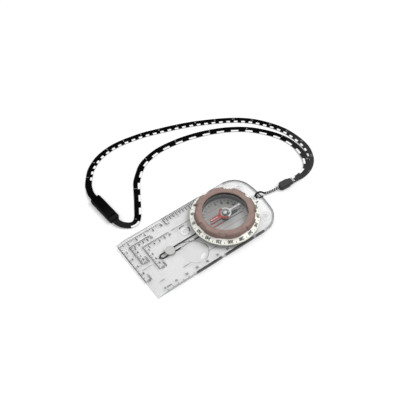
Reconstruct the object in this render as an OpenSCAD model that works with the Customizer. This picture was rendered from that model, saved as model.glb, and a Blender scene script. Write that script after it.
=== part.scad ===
// Baseplate compass on a neck lanyard, in millimetres.
// +Y is the direction of travel, +Z is up, and the feet stand on z = 0.
// The origin is under the middle of the plate's bounding rectangle.

/* [Baseplate] */
// Width of the plate across its long edges
plate_w = 59.6; // [59:0.1:66]
// Length of the plate from the front edge to the middle of the rear edge
plate_l = 125; // [122:0.5:140]
// Thickness of the acrylic plate
plate_t = 2.6; // [2.4:0.1:3.6]
// Length of the slope that thins the plate towards the front edge
front_bevel_l = 7; // [3:0.5:12]
// Thickness of the plate at the front edge
front_edge_t = 0.9; // [0.6:0.1:1.6]
// Radius of the two rear corners
rear_corner_r = 18; // [12:0.5:22]
// Radius of the bowed rear edge
rear_bow_r = 95; // [80:1:140]
// Distance of the dial's axis from the rear edge
dial_from_rear = 38.1; // [37.5:0.1:42]

/* [Magnifier] */
// Outer radius of the round lens pocket
lens_r = 10.3; // [7:0.1:11]
// Distance of the lens centre from the left long edge
lens_from_left = 17.1; // [14:0.1:18]
// Distance of the lens centre from the front edge
lens_from_front = 46.9; // [36:0.1:49]
// Height of the lens dome above the floor of its pocket
lens_rise = 1.5; // [0.8:0.1:2]
// Depth of the lens pocket
lens_sink = 0.5; // [0.3:0.1:0.9]

/* [Luminous disc] */
// Radius of the luminous disc in the direction arrow
disc_r = 4; // [2.5:0.1:5]
// Thickness of the luminous disc
disc_t = 0.5; // [0.3:0.1:0.8]
// Distance of the disc centre from the front edge
disc_from_front = 31.9; // [20:0.1:40]

/* [Friction feet] */
// Height of the feet, which is the gap under the plate
foot_h = 1.3; // [1.3:0.1:2]
// Radius of a foot
foot_r = 4.6; // [3:0.1:5]
// Radius of the stud that holds a foot in the plate
foot_stud_r = 1.6; // [1:0.1:2.2]
// Length of the stud
foot_stud_h = 0.9; // [0.5:0.1:1.3]

/* [Lanyard hole] */
// Radius of the lanyard hole
lanyard_hole_r = 2.1; // [2.1:0.1:2.6]
// Distance of the hole's centre from the rear edge
lanyard_hole_from_rear = 4.3; // [4.3:0.1:4.5]

/* [Dial] */
// Radius of the graduated ring
dial_r = 29; // [28:0.1:29.4]
// Height of the ring's upright rim
dial_rim_h = 1.85; // [1.4:0.05:2.4]
// Distance from the capsule to the upper end of the graduated slope
slope_out = 3.3; // [2.9:0.1:3.5]
// Rise of the graduated slope
dial_slope_h = 2.2; // [1.6:0.1:2.6]
// Height of the wall inside the grip, above the slope
dial_wall_h = 2.1; // [1.2:0.1:2.2]
// Wall of the hub around the capsule
hub_wall = 1.2; // [1:0.05:1.6]

/* [Grip ring] */
// Distance from the capsule to the widest line of the soft grip ring
grip_out = 4.7; // [4.3:0.1:5.5]
// Distance from the capsule to the grip's lower edge
grip_low_out = 3.6; // [3.3:0.1:4.1]
// Distance from the capsule to the edge of the grip's flat top
grip_top_out = 2.5; // [1.8:0.1:2.9]
// Height of the widest line above the lower edge
grip_mid_h = 1.75; // [1:0.05:2.5]
// Number of raised pads
pad_count = 8; // [6:1:12]
// Angle of the gap between two pads
pad_gap_angle = 18; // [10:1:24]
// Height of a pad over the gap beside it
pad_h = 1.2; // [0.5:0.05:1.3]
// Height of a pad over the gap at the lower edge
pad_low_h = 0.5; // [0.2:0.05:0.6]
// Distance from the capsule in to the window's edge
window_in = 2.5; // [2:0.1:4.5]
// Thickness of the lip over the cover
lip_t = 1.3; // [0.6:0.05:1.6]

/* [Capsule] */
// Outer radius of the liquid capsule
capsule_r = 21.5; // [20.6:0.1:21.6]
// Wall of the capsule
capsule_wall = 0.8; // [0.7:0.05:1.2]
// Thickness of the capsule's floor
capsule_floor_t = 0.9; // [0.7:0.05:1.2]
// Height of the capsule without its cover
capsule_h = 9.1; // [8.8:0.1:11]
// Thickness of the cover
cover_t = 1; // [0.8:0.1:1.6]
// Width and height of the sealing ring
seal_w = 0.5; // [0.3:0.05:0.55]
// Radius of the filling plug
plug_r = 1; // [0.7:0.1:1.4]
// Thickness of the disc that carries the orienting arrow
orient_t = 0.3; // [0.2:0.05:0.5]

/* [Pivot] */
// Radius of the post in the capsule's floor
post_r = 1.6; // [1.3:0.1:2]
// Height of the post above the capsule's floor
post_h = 1.9; // [1.8:0.1:2.6]
// Radius of the steel pin
pin_r = 0.4; // [0.3:0.05:0.5]
// Length of the pin's point
pin_point_h = 0.5; // [0.3:0.05:0.8]

/* [Needle] */
// Length of the red half from the pivot
north_l = 15.1; // [12:0.1:17]
// Length of the white half from the pivot
south_l = 14.8; // [11:0.1:16]
// Width of the needle's arms
needle_w = 2.5; // [1.8:0.1:3]
// Thickness of the needle
needle_t = 0.6; // [0.4:0.05:0.7]
// Outer radius of the needle's ring
needle_ring_r = 5.3; // [4.8:0.1:6]
// Width of the needle's ring
needle_ring_w = 1.15; // [0.8:0.05:1.4]
// Radius of the magnet
magnet_r = 2.4; // [1.8:0.1:3]
// Thickness of the magnet
magnet_t = 0.8; // [0.5:0.1:1.2]
// Radius of the cap over the bearing
cap_r = 2.2; // [1.5:0.1:2.8]

/* [Inclinometer] */
// Length of the pendulum arm from the pivot
incline_l = 14; // [10:0.1:16]
// Width of the pendulum arm
incline_w = 2.8; // [2:0.1:3.6]
// Thickness of the pendulum arm
incline_t = 0.5; // [0.3:0.05:0.6]

/* [Lanyard] */
// Width of the flat strap
strap_w = 5.7; // [4.6:0.1:6]
// Thickness of the flat strap
strap_t = 0.8; // [0.6:0.05:0.85]
// Diameter of the two-ply string between the plate and the cord end
string_d = 1.8; // [1.2:0.1:1.9]
// Diameter of the single string that loops round the plate's edge
loop_d = 1.2; // [0.9:0.05:1.2]

/* [Cord end] */
// Length of the cord end's body
end_l = 9.4; // [9:0.1:9.8]
// Width of the cord end's body
end_w = 7; // [6.6:0.1:8]
// Height of the cord end
end_h = 4.6; // [4.2:0.1:5.2]
// Length of the neck that grips the straps
neck_l = 3; // [2.6:0.1:3.1]

/* [Breakaway buckle] */
// Length of the socket half
socket_l = 25.5; // [22:0.1:25.6]
// Length of the plug's head
head_l = 3.1; // [2:0.1:3.2]
// Width of the buckle
buckle_w = 9.6; // [8:0.1:10.4]
// Height of the buckle
buckle_h = 4.4; // [4.2:0.1:5.2]
// Length of the plug's prongs
prong_l = 12; // [10:0.1:16]
// Width of each prong
prong_w = 2; // [1.2:0.1:2.2]
// Thickness of each prong
prong_t = 1.8; // [1.4:0.1:2]

/* [Hidden] */
$fn = 96;

run_clear = 0.05;      // radial clearance of a part that turns on another
seat_clear = 0.05;     // clearance between parts that are glued or pressed together
dial_gap = 0.15;       // the dial's running gap above the plate and under its lip
float_gap = 0.2;       // free height above and below a part that swings inside the capsule
cut = 1;               // how far a cutting body reaches past what it cuts
weld = 0.01;           // how far joined shapes of one piece reach into each other

// Levels of the plate
front_y = plate_l / 2;
rear_y = -plate_l / 2;
dial_y = rear_y + dial_from_rear;
z_under = foot_h;
z_top = z_under + plate_t;

// Feet: one beside the lens, two behind the dial
foot_x = 0.307 * plate_w;
foot_from_rear = 9.7;
foot_back_y = rear_y + foot_from_rear;
foot_to_dial = 0.8;
foot_front = [8.8, dial_y + dial_r + foot_r + foot_to_dial];
foot_places = [foot_front, [foot_x, foot_back_y], [-foot_x, foot_back_y]];
foot_edge_r = 0.5;

// Dial, from the capsule outwards
hub_bore_r = capsule_r + seat_clear;
hub_r = hub_bore_r + hub_wall;
plate_hole_r = hub_r + run_clear;
retainer_t = 0.7;
retainer_step = 0.45;
retainer_w = 1.7;
retainer_in_r = hub_r - retainer_step;
retainer_r = retainer_in_r + retainer_w;
retainer_slit = 3;
recess_r = retainer_r + 0.3;
recess_h = 2 * dial_gap + retainer_t;
z_hub = z_under + dial_gap;
z_step = z_hub + retainer_t;
z_dial = z_top + dial_gap;
z_rim = z_dial + dial_rim_h;
z_slope = z_rim + dial_slope_h;
z_wall = z_slope + dial_wall_h;
rim_chamfer = 0.3;
dial_slope_r = capsule_r + slope_out;
wall_r = dial_slope_r - 0.9;
dial_rest_turn = 2;

// Capsule and grip
capsule_in_r = capsule_r - capsule_wall;
z_floor = z_hub + capsule_floor_t;
z_cup = z_hub + capsule_h;
z_cover = z_cup + cover_t;
z_lip = z_cover + seat_clear;
z_grip = z_slope + dial_gap;
z_grip_mid = z_grip + grip_mid_h;
z_grip_top = max(z_lip, z_wall + dial_gap) + lip_t;
grip_bore_r = wall_r + seat_clear;
grip_r = capsule_r + grip_out;
grip_low_r = capsule_r + grip_low_out;
grip_top_r = capsule_r + grip_top_out;
grip_fade = 0.4;
window_r = capsule_r - window_in;
cover_bore_r = capsule_r + seat_clear;
lip_round = 0.4;
z_orient = z_floor + orient_t;
orient_r = capsule_in_r - 0.2;
plug_place_r = 0.9 * capsule_in_r;

// Pivot and inclinometer
z_post = z_floor + post_h;
z_incline = z_orient + float_gap;
z_collar = z_incline + incline_t + float_gap;
collar_r = post_r + 0.8;
incline_bore_r = post_r + run_clear;
incline_ring_r = post_r + 1.3;
pin_sink = 1.2;

// Needle: its top stays under the cover by the cap and the free height
cap_t = 0.3;
z_needle_top = z_cup - float_gap - cap_t - 0.1;
z_needle = z_needle_top - needle_t;
z_magnet = z_needle - magnet_t;
jewel_r = 0.9;
jewel_cup_r = 0.6;
jewel_cup_h = 0.5;
z_jewel = z_needle - 0.1;
z_tip = z_jewel + jewel_cup_h - 0.04;
needle_ring_in_r = needle_ring_r - needle_ring_w;
magnet_bore_r = jewel_r + 0.15;
flare_l = 2;

// Buckle: centre and heading on the surface that the compass lies on
buckle_x = 66.5;
buckle_y = 50.4;
buckle_turn = 4;
buckle_l = socket_l + head_l;
buckle_edge = 1;
buckle_corner = 1.2;
prong_clear = 0.15;
cavity_l = prong_l + 1;
cavity_w = buckle_w - 2.4;
cavity_h = prong_t + 2 * prong_clear;
z_buckle_mid = buckle_h / 2;

// Cord end: the middle of its front face, and its heading
end_x = -1.7;
end_y = -81;
end_turn = -3;
end_edge = 0.8;
end_strap_w = 0.88 * strap_w;
strap_edge = 0.3;
neck_w = end_strap_w + 0.8;
neck_h = end_h - 1.6;
neck_edge = 0.4;
end_nose = 2;
knot_r = 1.3;
knot_depth = 3;

// Routes of the lanyard, chosen by hand; the straps lie flat, one on the other by the cord end
STRING_ROUTE = [
    [-1.7, -80.9, 2.3], [-1.2, -78.5, 2], [-0.8, -75.8, 1.6], [-0.2, -72.8, 1.3], [0.3, -70.2, 1.2],
    [0.8, -68, 1.5], [1.3, -66.6, 2.3], [1.9, -65.5, 3.3], [2.5, -64.3, 4.2], [2.9, -62.7, 4.8],
    [3.1, -61, 4.9], [3, -59.7, 4.8], [2.6, -58.8, 4.4], [2.1, -58.4, 3.5], [1.5, -58.7, 2.3],
    [0.9, -59.5, 1.1], [0.1, -60.7, 0.65], [-0.5, -62, 0.65], [-0.3, -63.5, 0.65], [0.2, -64.7, 0.75]];
STRING_TAIL_POINTS = 6;
OUTER_ROUTE = [
    [80.9, 51.4, 2.2], [84, 51.6, 2.1], [88.5, 51.1, 1.4], [93, 49.6, 0.8], [97.5, 47.7, 0.45],
    [104, 43, 0.45], [111, 36.5, 0.45], [117.5, 25.5, 0.45], [120.5, 13.5, 0.45], [121, 2.5, 0.45],
    [119.5, -9.5, 0.45], [117, -22, 0.45], [113.5, -33, 0.45], [108.3, -48.5, 0.45], [101.6, -65, 0.45],
    [93.2, -81.5, 0.45], [86.2, -93.5, 0.45], [79, -103.5, 0.45], [71, -111.8, 0.45],
    [62, -118.5, 0.45], [51.5, -124.5, 0.45], [41, -128.2, 0.45], [28, -130, 0.45], [18, -129.2, 0.45],
    [8.5, -125, 0.45], [2.8, -119.5, 0.45], [-0.6, -113, 0.45], [-2.1, -106, 0.45], [-2.3, -99.5, 1],
    [-2.35, -93.4, 1.85]];
INNER_ROUTE = [
    [52.1, 49.4, 2.2], [49.2, 49.2, 2.1], [46, 47.7, 1.6], [43, 44.8, 1], [40.8, 41, 0.6],
    [41, 36.4, 0.45], [45, 32, 0.45], [52, 27.5, 0.45], [59.6, 22.7, 0.45], [67.5, 18, 0.45],
    [75.5, 13, 0.45], [82.5, 6, 0.45], [88.5, -1.5, 0.45], [92.2, -11.5, 0.45], [94, -22.5, 0.45],
    [93.5, -35.5, 0.45], [91, -51, 0.45], [86.3, -67, 0.45], [80, -81.5, 0.45],
    [73.4, -92.5, 0.45], [66, -102, 0.45], [57.6, -109.5, 0.45], [48.5, -116, 0.45], [38.5, -120.7, 0.45],
    [28, -122.9, 0.6], [17.5, -122.2, 1.3], [8.3, -119.5, 1.4], [1.3, -113.9, 1.4], [-1.7, -105.5, 1.4],
    [-2.3, -99, 1.9], [-2.35, -93.4, 2.75]];
PINCH_POINTS = 5;

// Heading of a route at point i
function heading(route, i) =
    let (d = route[min(i + 1, len(route) - 1)] - route[max(i - 1, 0)]) d / norm(d);

// One ring of a swept tube: the section's x runs across the route and its y runs along ref
function ring(route, i, section, ref) =
    let (t = heading(route, i),
         flat = ref - (ref * t) * t,
         up = flat / norm(flat),
         across = cross(t, up))
    [for (s = section) route[i] + s[0] * across + s[1] * up];

// A closed tube through rings of equal count
module tube(rings) {
    n = len(rings[0]);
    last = len(rings) - 1;
    points = [for (r = rings) each r];
    sides = [for (i = [0 : last - 1]) for (k = [0 : n - 1])
        let (a = i * n + k, b = i * n + (k + 1) % n)
        each [[a, b, b + n], [a, b + n, a + n]]];
    near_cap = [[for (k = [0 : n - 1]) n - 1 - k]];
    far_cap = [[for (k = [0 : n - 1]) last * n + k]];
    polyhedron(points = points, faces = concat(sides, near_cap, far_cap), convexity = 10);
}

function round_section(d) = [for (k = [0 : 7]) d / 2 * [cos(22.5 + 45 * k), sin(22.5 + 45 * k)]];

// Section of a strap at point i of its route; the cord end pinches the last few points
function strap_section(route, i) =
    let (pinch = max(0, min(1, (i - len(route) + 1 + PINCH_POINTS) / 2)),
         w = (strap_w + pinch * (end_strap_w - strap_w)) / 2, t = strap_t / 2, e = strap_edge)
    [[w, t - e], [w - e, t], [e - w, t], [-w, t - e], [-w, e - t], [e - w, -t], [w - e, -t], [w, e - t]];

// A flat bar with sloped long edges, its middle at the origin and its underside at z = 0
module edged_bar(l, w, h, edge) {
    rotate([90, 0, 90])
        translate([0, 0, -l / 2])
            linear_extrude(l)
                polygon([[-w / 2 + edge, 0], [w / 2 - edge, 0], [w / 2, edge], [w / 2, h - edge],
                         [w / 2 - edge, h], [-w / 2 + edge, h], [-w / 2, h - edge], [-w / 2, edge]]);
}

// Outline of the plate: straight sides, bowed rear edge and two round corners tangent to both
module plate_outline() {
    corner_x = plate_w / 2 - rear_corner_r;
    bow_y = rear_y + rear_bow_r;
    reach = rear_bow_r - rear_corner_r;
    corner_y = bow_y - sqrt(reach * reach - corner_x * corner_x);
    lean = atan2(corner_y - bow_y, corner_x);
    spoke = 2 * rear_corner_r;
    translate([-plate_w / 2, corner_y])
        square([plate_w, front_y - corner_y]);
    for (side = [-1, 1])
        translate([side * corner_x, corner_y])
            circle(r = rear_corner_r);
    intersection() {
        translate([0, bow_y])
            circle(r = rear_bow_r, $fn = 360);
        polygon([[-corner_x, corner_y + weld], [corner_x, corner_y + weld],
                 [corner_x + spoke * cos(lean), corner_y + spoke * sin(lean)],
                 [-corner_x - spoke * cos(lean), corner_y + spoke * sin(lean)]]);
    }
}

// The wedge that is taken off the top to thin the front edge
module front_bevel() {
    drop = plate_t - front_edge_t;
    slope = drop / front_bevel_l;
    start_y = front_y - front_bevel_l;
    rotate([90, 0, 90])
        translate([0, 0, -plate_w / 2 - cut])
            linear_extrude(plate_w + 2 * cut)
                polygon([[start_y - cut, z_top + slope * cut],
                         [front_y + cut, z_top - drop - slope * cut],
                         [front_y + cut, z_top + cut], [start_y - cut, z_top + cut]]);
}

// Magnifying lens moulded in the plate: a shallow dome in a round pocket
lens_x = lens_from_left - plate_w / 2;
lens_y = front_y - lens_from_front;
lens_dome_r = lens_r - 0.4;
lens_ball_r = (lens_dome_r * lens_dome_r + lens_rise * lens_rise) / (2 * lens_rise);
z_lens = z_top - lens_sink;

module lens_dome() {
    translate([lens_x, lens_y, 0])
        intersection() {
            translate([0, 0, z_lens + lens_rise - lens_ball_r])
                sphere(r = lens_ball_r, $fn = 128);
            translate([0, 0, z_lens - weld])
                cylinder(r = lens_r, h = lens_rise + cut);
        }
}

disc_y = front_y - disc_from_front;
lanyard_hole_x = 1.2;
lanyard_hole_y = rear_y + lanyard_hole_from_rear;

module baseplate() {
    color([0.86, 0.87, 0.88], 0.45) {
        difference() {
            translate([0, 0, z_under])
                linear_extrude(plate_t)
                    plate_outline();
            front_bevel();
            translate([0, dial_y, z_under - cut])
                cylinder(r = plate_hole_r, h = plate_t + 2 * cut);
            translate([0, dial_y, z_under - cut])
                cylinder(r = recess_r, h = recess_h + cut);
            for (place = foot_places)
                translate([place[0], place[1], z_under - cut])
                    cylinder(r = foot_stud_r + seat_clear, h = foot_stud_h + seat_clear + cut);
            translate([lens_x, lens_y, z_lens])
                cylinder(r = lens_r, h = lens_sink + cut);
            translate([0, disc_y, z_top - disc_t])
                cylinder(r = disc_r + seat_clear, h = disc_t + cut);
            translate([lanyard_hole_x, lanyard_hole_y, z_under - cut])
                cylinder(r = lanyard_hole_r, h = plate_t + 2 * cut);
        }
        lens_dome();
    }
}

// Clear silicone feet with a rounded lower edge and a stud in the plate
module friction_feet() {
    color([0.8, 0.82, 0.84], 0.6)
        for (place = foot_places)
            translate([place[0], place[1], 0])
                rotate_extrude()
                    polygon([[0, 0], [foot_r - foot_edge_r, 0],
                             [foot_r - 0.3 * foot_edge_r, 0.3 * foot_edge_r], [foot_r, foot_edge_r],
                             [foot_r, foot_h], [foot_stud_r, foot_h],
                             [foot_stud_r, foot_h + foot_stud_h], [0, foot_h + foot_stud_h]]);
}

module luminous_disc() {
    color([0.82, 0.84, 0.8])
        translate([0, disc_y, z_top - disc_t])
            cylinder(r = disc_r, h = disc_t);
}

// Split ring under the plate's lip, which keeps the dial in the plate
module dial_retainer() {
    color([0.25, 0.25, 0.26])
        translate([0, dial_y, z_hub])
            difference() {
                cylinder(r = retainer_r, h = retainer_t);
                translate([0, 0, -cut])
                    cylinder(r = retainer_in_r, h = retainer_t + 2 * cut);
                translate([0, -retainer_slit / 2, -cut])
                    cube([retainer_r + cut, retainer_slit, retainer_t + 2 * cut]);
            }
}

// Graduated ring with the hub that turns in the plate
module dial_ring() {
    color([0.93, 0.93, 0.87])
        translate([0, dial_y, 0])
            rotate_extrude($fn = 180)
                polygon([[hub_bore_r, z_hub], [retainer_in_r, z_hub], [retainer_in_r, z_step],
                         [hub_r, z_step], [hub_r, z_dial], [dial_r - rim_chamfer, z_dial],
                         [dial_r, z_dial + rim_chamfer], [dial_r, z_rim - rim_chamfer / 2],
                         [dial_r - rim_chamfer / 2, z_rim], [dial_slope_r, z_slope],
                         [wall_r, z_slope], [wall_r, z_wall], [hub_bore_r, z_wall]]);
}

// Half section of the grip; inset pulls its outer slopes in towards the axis
function grip_section(inset) = [
    [grip_bore_r, z_grip], [grip_low_r - min(inset, pad_low_h), z_grip], [grip_r - inset, z_grip_mid],
    [grip_top_r - inset, z_grip_top - inset / 3], [grip_top_r - pad_h - grip_fade, z_grip_top],
    [window_r + lip_round, z_grip_top], [window_r, z_grip_top - lip_round], [window_r, z_lip],
    [cover_bore_r, z_lip], [cover_bore_r, z_wall + seat_clear], [grip_bore_r, z_wall + seat_clear]];

// Soft grip ring: a plain ring with raised pads on its outer slopes
module bezel_grip() {
    pad_step = 360 / pad_count;
    half_pad = (pad_step - pad_gap_angle) / 2;
    far = 1.2 * grip_r;
    color([0.6, 0.52, 0.5])
        translate([0, dial_y, 0]) {
            rotate_extrude($fn = 180)
                polygon(grip_section(pad_h));
            intersection() {
                rotate_extrude($fn = 180)
                    polygon(grip_section(0));
                for (k = [0 : pad_count - 1])
                    rotate([0, 0, (k + 0.5) * pad_step + dial_rest_turn])
                        translate([0, 0, z_grip - cut])
                            linear_extrude(z_grip_top - z_grip + 2 * cut)
                                polygon([[0, 0], far * [cos(half_pad), -sin(half_pad)],
                                         [far / cos(half_pad), 0],
                                         far * [cos(half_pad), sin(half_pad)]]);
            }
        }
}

// Clear cup that holds the liquid, with a hole for the plug and a step for the seal
module capsule_cup() {
    color([0.75, 0.77, 0.77], 0.5)
        translate([0, dial_y, 0])
            difference() {
                rotate_extrude($fn = 180)
                    polygon([[0, z_hub], [capsule_r, z_hub], [capsule_r, z_cup - seal_w],
                             [capsule_r - seal_w, z_cup - seal_w], [capsule_r - seal_w, z_cup],
                             [capsule_in_r, z_cup], [capsule_in_r, z_floor], [0, z_floor]]);
                translate([0, plug_place_r, z_hub - cut])
                    cylinder(r = plug_r + seat_clear, h = capsule_floor_t + 2 * cut);
                translate([0, 0, z_floor - capsule_floor_t / 2])
                    cylinder(r = post_r, h = capsule_floor_t);
            }
}

module capsule_cover() {
    color([0.85, 0.87, 0.88], 0.35)
        translate([0, dial_y, z_cup])
            cylinder(r = capsule_r, h = cover_t, $fn = 180);
}

module capsule_seal() {
    color([0.15, 0.15, 0.15])
        translate([0, dial_y, z_cup - seal_w])
            difference() {
                cylinder(r = capsule_r, h = seal_w, $fn = 180);
                translate([0, 0, -cut])
                    cylinder(r = capsule_r - seal_w, h = seal_w + 2 * cut, $fn = 180);
            }
}

module fill_plug() {
    color([0.3, 0.3, 0.32])
        translate([0, dial_y + plug_place_r, z_hub])
            cylinder(r = plug_r, h = capsule_floor_t);
}

// Thin disc on the capsule's floor that carries the meridian lines and the orienting arrow
module orienting_disc() {
    color([0.62, 0.64, 0.64])
        translate([0, dial_y, z_floor])
            difference() {
                cylinder(r = orient_r, h = orient_t, $fn = 180);
                translate([0, 0, -cut])
                    cylinder(r = post_r + seat_clear, h = orient_t + 2 * cut);
            }
}

// Post in the floor: the inclinometer turns on it and the pin stands in it
module pivot_post() {
    color([0.8, 0.82, 0.82])
        translate([0, dial_y, 0])
            difference() {
                translate([0, 0, z_floor - capsule_floor_t / 2])
                    cylinder(r = post_r, h = capsule_floor_t / 2 + post_h);
                translate([0, 0, z_post - pin_sink])
                    cylinder(r = pin_r, h = pin_sink + cut);
            }
}

module pivot_pin() {
    color([0.75, 0.75, 0.77])
        translate([0, dial_y, 0])
            rotate_extrude()
                polygon([[0, z_post - pin_sink], [pin_r, z_post - pin_sink], [pin_r, z_tip - pin_point_h],
                         [0.04, z_tip], [0, z_tip]]);
}

// Collar pressed on the post, which keeps the inclinometer down
module arm_collar() {
    color([0.7, 0.72, 0.72])
        translate([0, dial_y, z_collar])
            difference() {
                cylinder(r = collar_r, h = z_post - z_collar);
                translate([0, 0, -cut])
                    cylinder(r = post_r, h = z_post - z_collar + 2 * cut);
            }
}

// Pendulum that hangs down when the compass is held on its edge
module inclinometer_arm() {
    color([0.16, 0.24, 0.22])
        translate([0, dial_y, z_incline])
            difference() {
                union() {
                    cylinder(r = incline_ring_r, h = incline_t);
                    linear_extrude(incline_t)
                        polygon([[-incline_w / 2, 0], [-incline_w / 2, -incline_l + incline_w],
                                 [0, -incline_l],
                                 [incline_w / 2, -incline_l + incline_w], [incline_w / 2, 0]]);
                }
                translate([0, 0, -cut])
                    cylinder(r = incline_bore_r, h = incline_t + 2 * cut);
            }
}

// Clear web of the needle between the jewel and the ring
module needle_hub() {
    color([0.85, 0.87, 0.87], 0.6)
        translate([0, dial_y, z_needle])
            difference() {
                cylinder(r = needle_ring_in_r, h = needle_t);
                translate([0, 0, -cut])
                    cylinder(r = jewel_r, h = needle_t + 2 * cut);
            }
}

module jewel_bearing() {
    color([0.75, 0.2, 0.3])
        translate([0, dial_y, z_jewel])
            rotate_extrude()
                polygon([[0, jewel_cup_h], [jewel_cup_r, 0], [jewel_r, 0],
                         [jewel_r, z_needle_top - z_jewel], [0, z_needle_top - z_jewel]]);
}

// Low domed cap over the jewel
module bearing_cap() {
    color([0.6, 0.62, 0.64])
        translate([0, dial_y, z_needle_top])
            rotate_extrude()
                polygon([[0, 0], [cap_r, 0], [cap_r, cap_t / 3], [0.8 * cap_r, 0.75 * cap_t],
                         [0.4 * cap_r, cap_t], [0, cap_t]]);
}

module needle_magnet() {
    color([0.3, 0.3, 0.33])
        translate([0, dial_y, z_magnet])
            difference() {
                cylinder(r = magnet_r, h = magnet_t);
                translate([0, 0, -cut])
                    cylinder(r = magnet_bore_r, h = magnet_t + 2 * cut);
            }
}

// Half of the needle's ring with its flared arm, pointing to +Y
module needle_half(arm_l) {
    flare_w = 2.4 * needle_w;
    difference() {
        intersection() {
            union() {
                cylinder(r = needle_ring_r, h = needle_t);
                linear_extrude(needle_t)
                    polygon([[-flare_w / 2, needle_ring_in_r], [-needle_w / 2, needle_ring_r + flare_l],
                             [-needle_w / 2, arm_l - needle_w / 3], [-needle_w / 4, arm_l],
                             [needle_w / 4, arm_l], [needle_w / 2, arm_l - needle_w / 3],
                             [needle_w / 2, needle_ring_r + flare_l], [flare_w / 2, needle_ring_in_r]]);
            }
            translate([-needle_ring_r - cut, 0, -cut])
                cube([2 * (needle_ring_r + cut), arm_l + 2 * cut, needle_t + 2 * cut]);
        }
        translate([0, 0, -cut])
            cylinder(r = needle_ring_in_r, h = needle_t + 2 * cut);
    }
}

module needle_north_arm() {
    color([0.85, 0.12, 0.1])
        translate([0, dial_y, z_needle])
            needle_half(north_l);
}

module needle_south_arm() {
    color([0.95, 0.94, 0.93])
        translate([0, dial_y, z_needle])
            rotate([0, 0, 180])
                needle_half(south_l);
}

// String of the lanyard: a two-ply tail, then one strand through the hole and back under the plate
module lanyard_string() {
    rings = [for (i = [0 : len(STRING_ROUTE) - 1])
        ring(STRING_ROUTE, i, round_section(i < STRING_TAIL_POINTS ? string_d : loop_d), [1, 0, 0])];
    color([0.12, 0.12, 0.12])
        tube(rings);
}

module strap(route) {
    tube([for (i = [0 : len(route) - 1]) ring(route, i, strap_section(route, i), [0, 0, 1])]);
}

module strap_outer() {
    color([0.05, 0.05, 0.05])
        strap(OUTER_ROUTE);
}

module strap_inner() {
    color([0.05, 0.05, 0.05])
        strap(INNER_ROUTE);
}

// Half section of the knot and the stretch of string before it, or of the room for them
function knot_section(room) = [
    [0, -room], [string_d / 2 + room, -room], [string_d / 2 + room, knot_depth],
    [knot_r + room, knot_depth + knot_r / 2], [knot_r + room, knot_depth + 1.5 * knot_r],
    [knot_r / 2, knot_depth + 2 * knot_r + room], [0, knot_depth + 2 * knot_r + room]];

// Puts a piece drawn from the cord end's front face towards -Y in its place
module at_cord_end() {
    translate([end_x, end_y, 0])
        rotate([0, 0, end_turn])
            children();
}

// Moulded cord end: a body with a rounded nose, and a neck that grips both straps
module cord_end() {
    color([0.24, 0.24, 0.25])
        at_cord_end()
            difference() {
                union() {
                    intersection() {
                        translate([0, -end_l / 2, 0])
                            rotate([0, 0, 90])
                                edged_bar(end_l, end_w, end_h, end_edge);
                        linear_extrude(end_h)
                            polygon([[-end_w / 2 + end_nose, 0], [end_w / 2 - end_nose, 0],
                                     [end_w / 2, -end_nose], [end_w / 2, -end_l],
                                     [-end_w / 2, -end_l], [-end_w / 2, -end_nose]]);
                    }
                    translate([0, -end_l - neck_l / 2 + weld, (end_h - neck_h) / 2])
                        rotate([0, 0, 90])
                            edged_bar(neck_l + weld, neck_w, neck_h, neck_edge);
                }
                translate([0, 0, end_h / 2])
                    rotate([90, 0, 0])
                        rotate_extrude()
                            polygon(knot_section(seat_clear));
            }
}

// End of the string inside the cord end, with the knot that keeps it there
module string_knot() {
    color([0.12, 0.12, 0.12])
        at_cord_end()
            translate([0, 0, end_h / 2])
                rotate([90, 0, 0])
                    rotate_extrude()
                        polygon(knot_section(0));
}

// Puts a piece drawn along +X from the buckle's left end in its place
module at_buckle() {
    translate([buckle_x, buckle_y, 0])
        rotate([0, 0, buckle_turn])
            translate([-buckle_l / 2, 0, 0])
                children();
}

// Body of one half of the buckle from x = 0 to x = l, with the corners cut at its far end
module buckle_half(l, w, h) {
    intersection() {
        translate([l / 2, 0, 0])
            edged_bar(l, w, h, buckle_edge);
        linear_extrude(h)
            polygon([[0, -w / 2], [l - buckle_corner, -w / 2], [l, buckle_corner - w / 2],
                     [l, w / 2 - buckle_corner], [l - buckle_corner, w / 2], [0, w / 2]]);
    }
}

// Socket half: a shell with the cavity for the plug's prongs
module buckle_socket() {
    color([0.06, 0.06, 0.06])
        at_buckle()
            difference() {
                translate([head_l, 0, 0])
                    buckle_half(socket_l, buckle_w, buckle_h);
                translate([head_l - cut, -cavity_w / 2, z_buckle_mid - cavity_h / 2])
                    cube([cavity_l + cut, cavity_w, cavity_h]);
            }
}

// Plug half: a head with two prongs
module buckle_plug() {
    head = head_l - prong_clear;
    prong_y = cavity_w / 2 - prong_clear - prong_w;
    color([0.09, 0.09, 0.09])
        at_buckle() {
            translate([head, 0, 0])
                mirror([1, 0, 0])
                    buckle_half(head, buckle_w, buckle_h);
            for (side = [0, 1])
                mirror([0, side, 0])
                    translate([head - weld, prong_y, z_buckle_mid - prong_t / 2])
                        cube([prong_l, prong_w, prong_t]);
        }
}

baseplate();
friction_feet();
luminous_disc();
dial_retainer();
dial_ring();
bezel_grip();
capsule_cup();
capsule_cover();
capsule_seal();
fill_plug();
orienting_disc();
pivot_post();
pivot_pin();
arm_collar();
inclinometer_arm();
needle_hub();
jewel_bearing();
bearing_cap();
needle_magnet();
needle_north_arm();
needle_south_arm();
lanyard_string();
cord_end();
string_knot();
strap_outer();
strap_inner();
buckle_socket();
buckle_plug();
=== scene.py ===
import math

import bmesh
import bpy
from mathutils import Matrix, Vector


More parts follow.
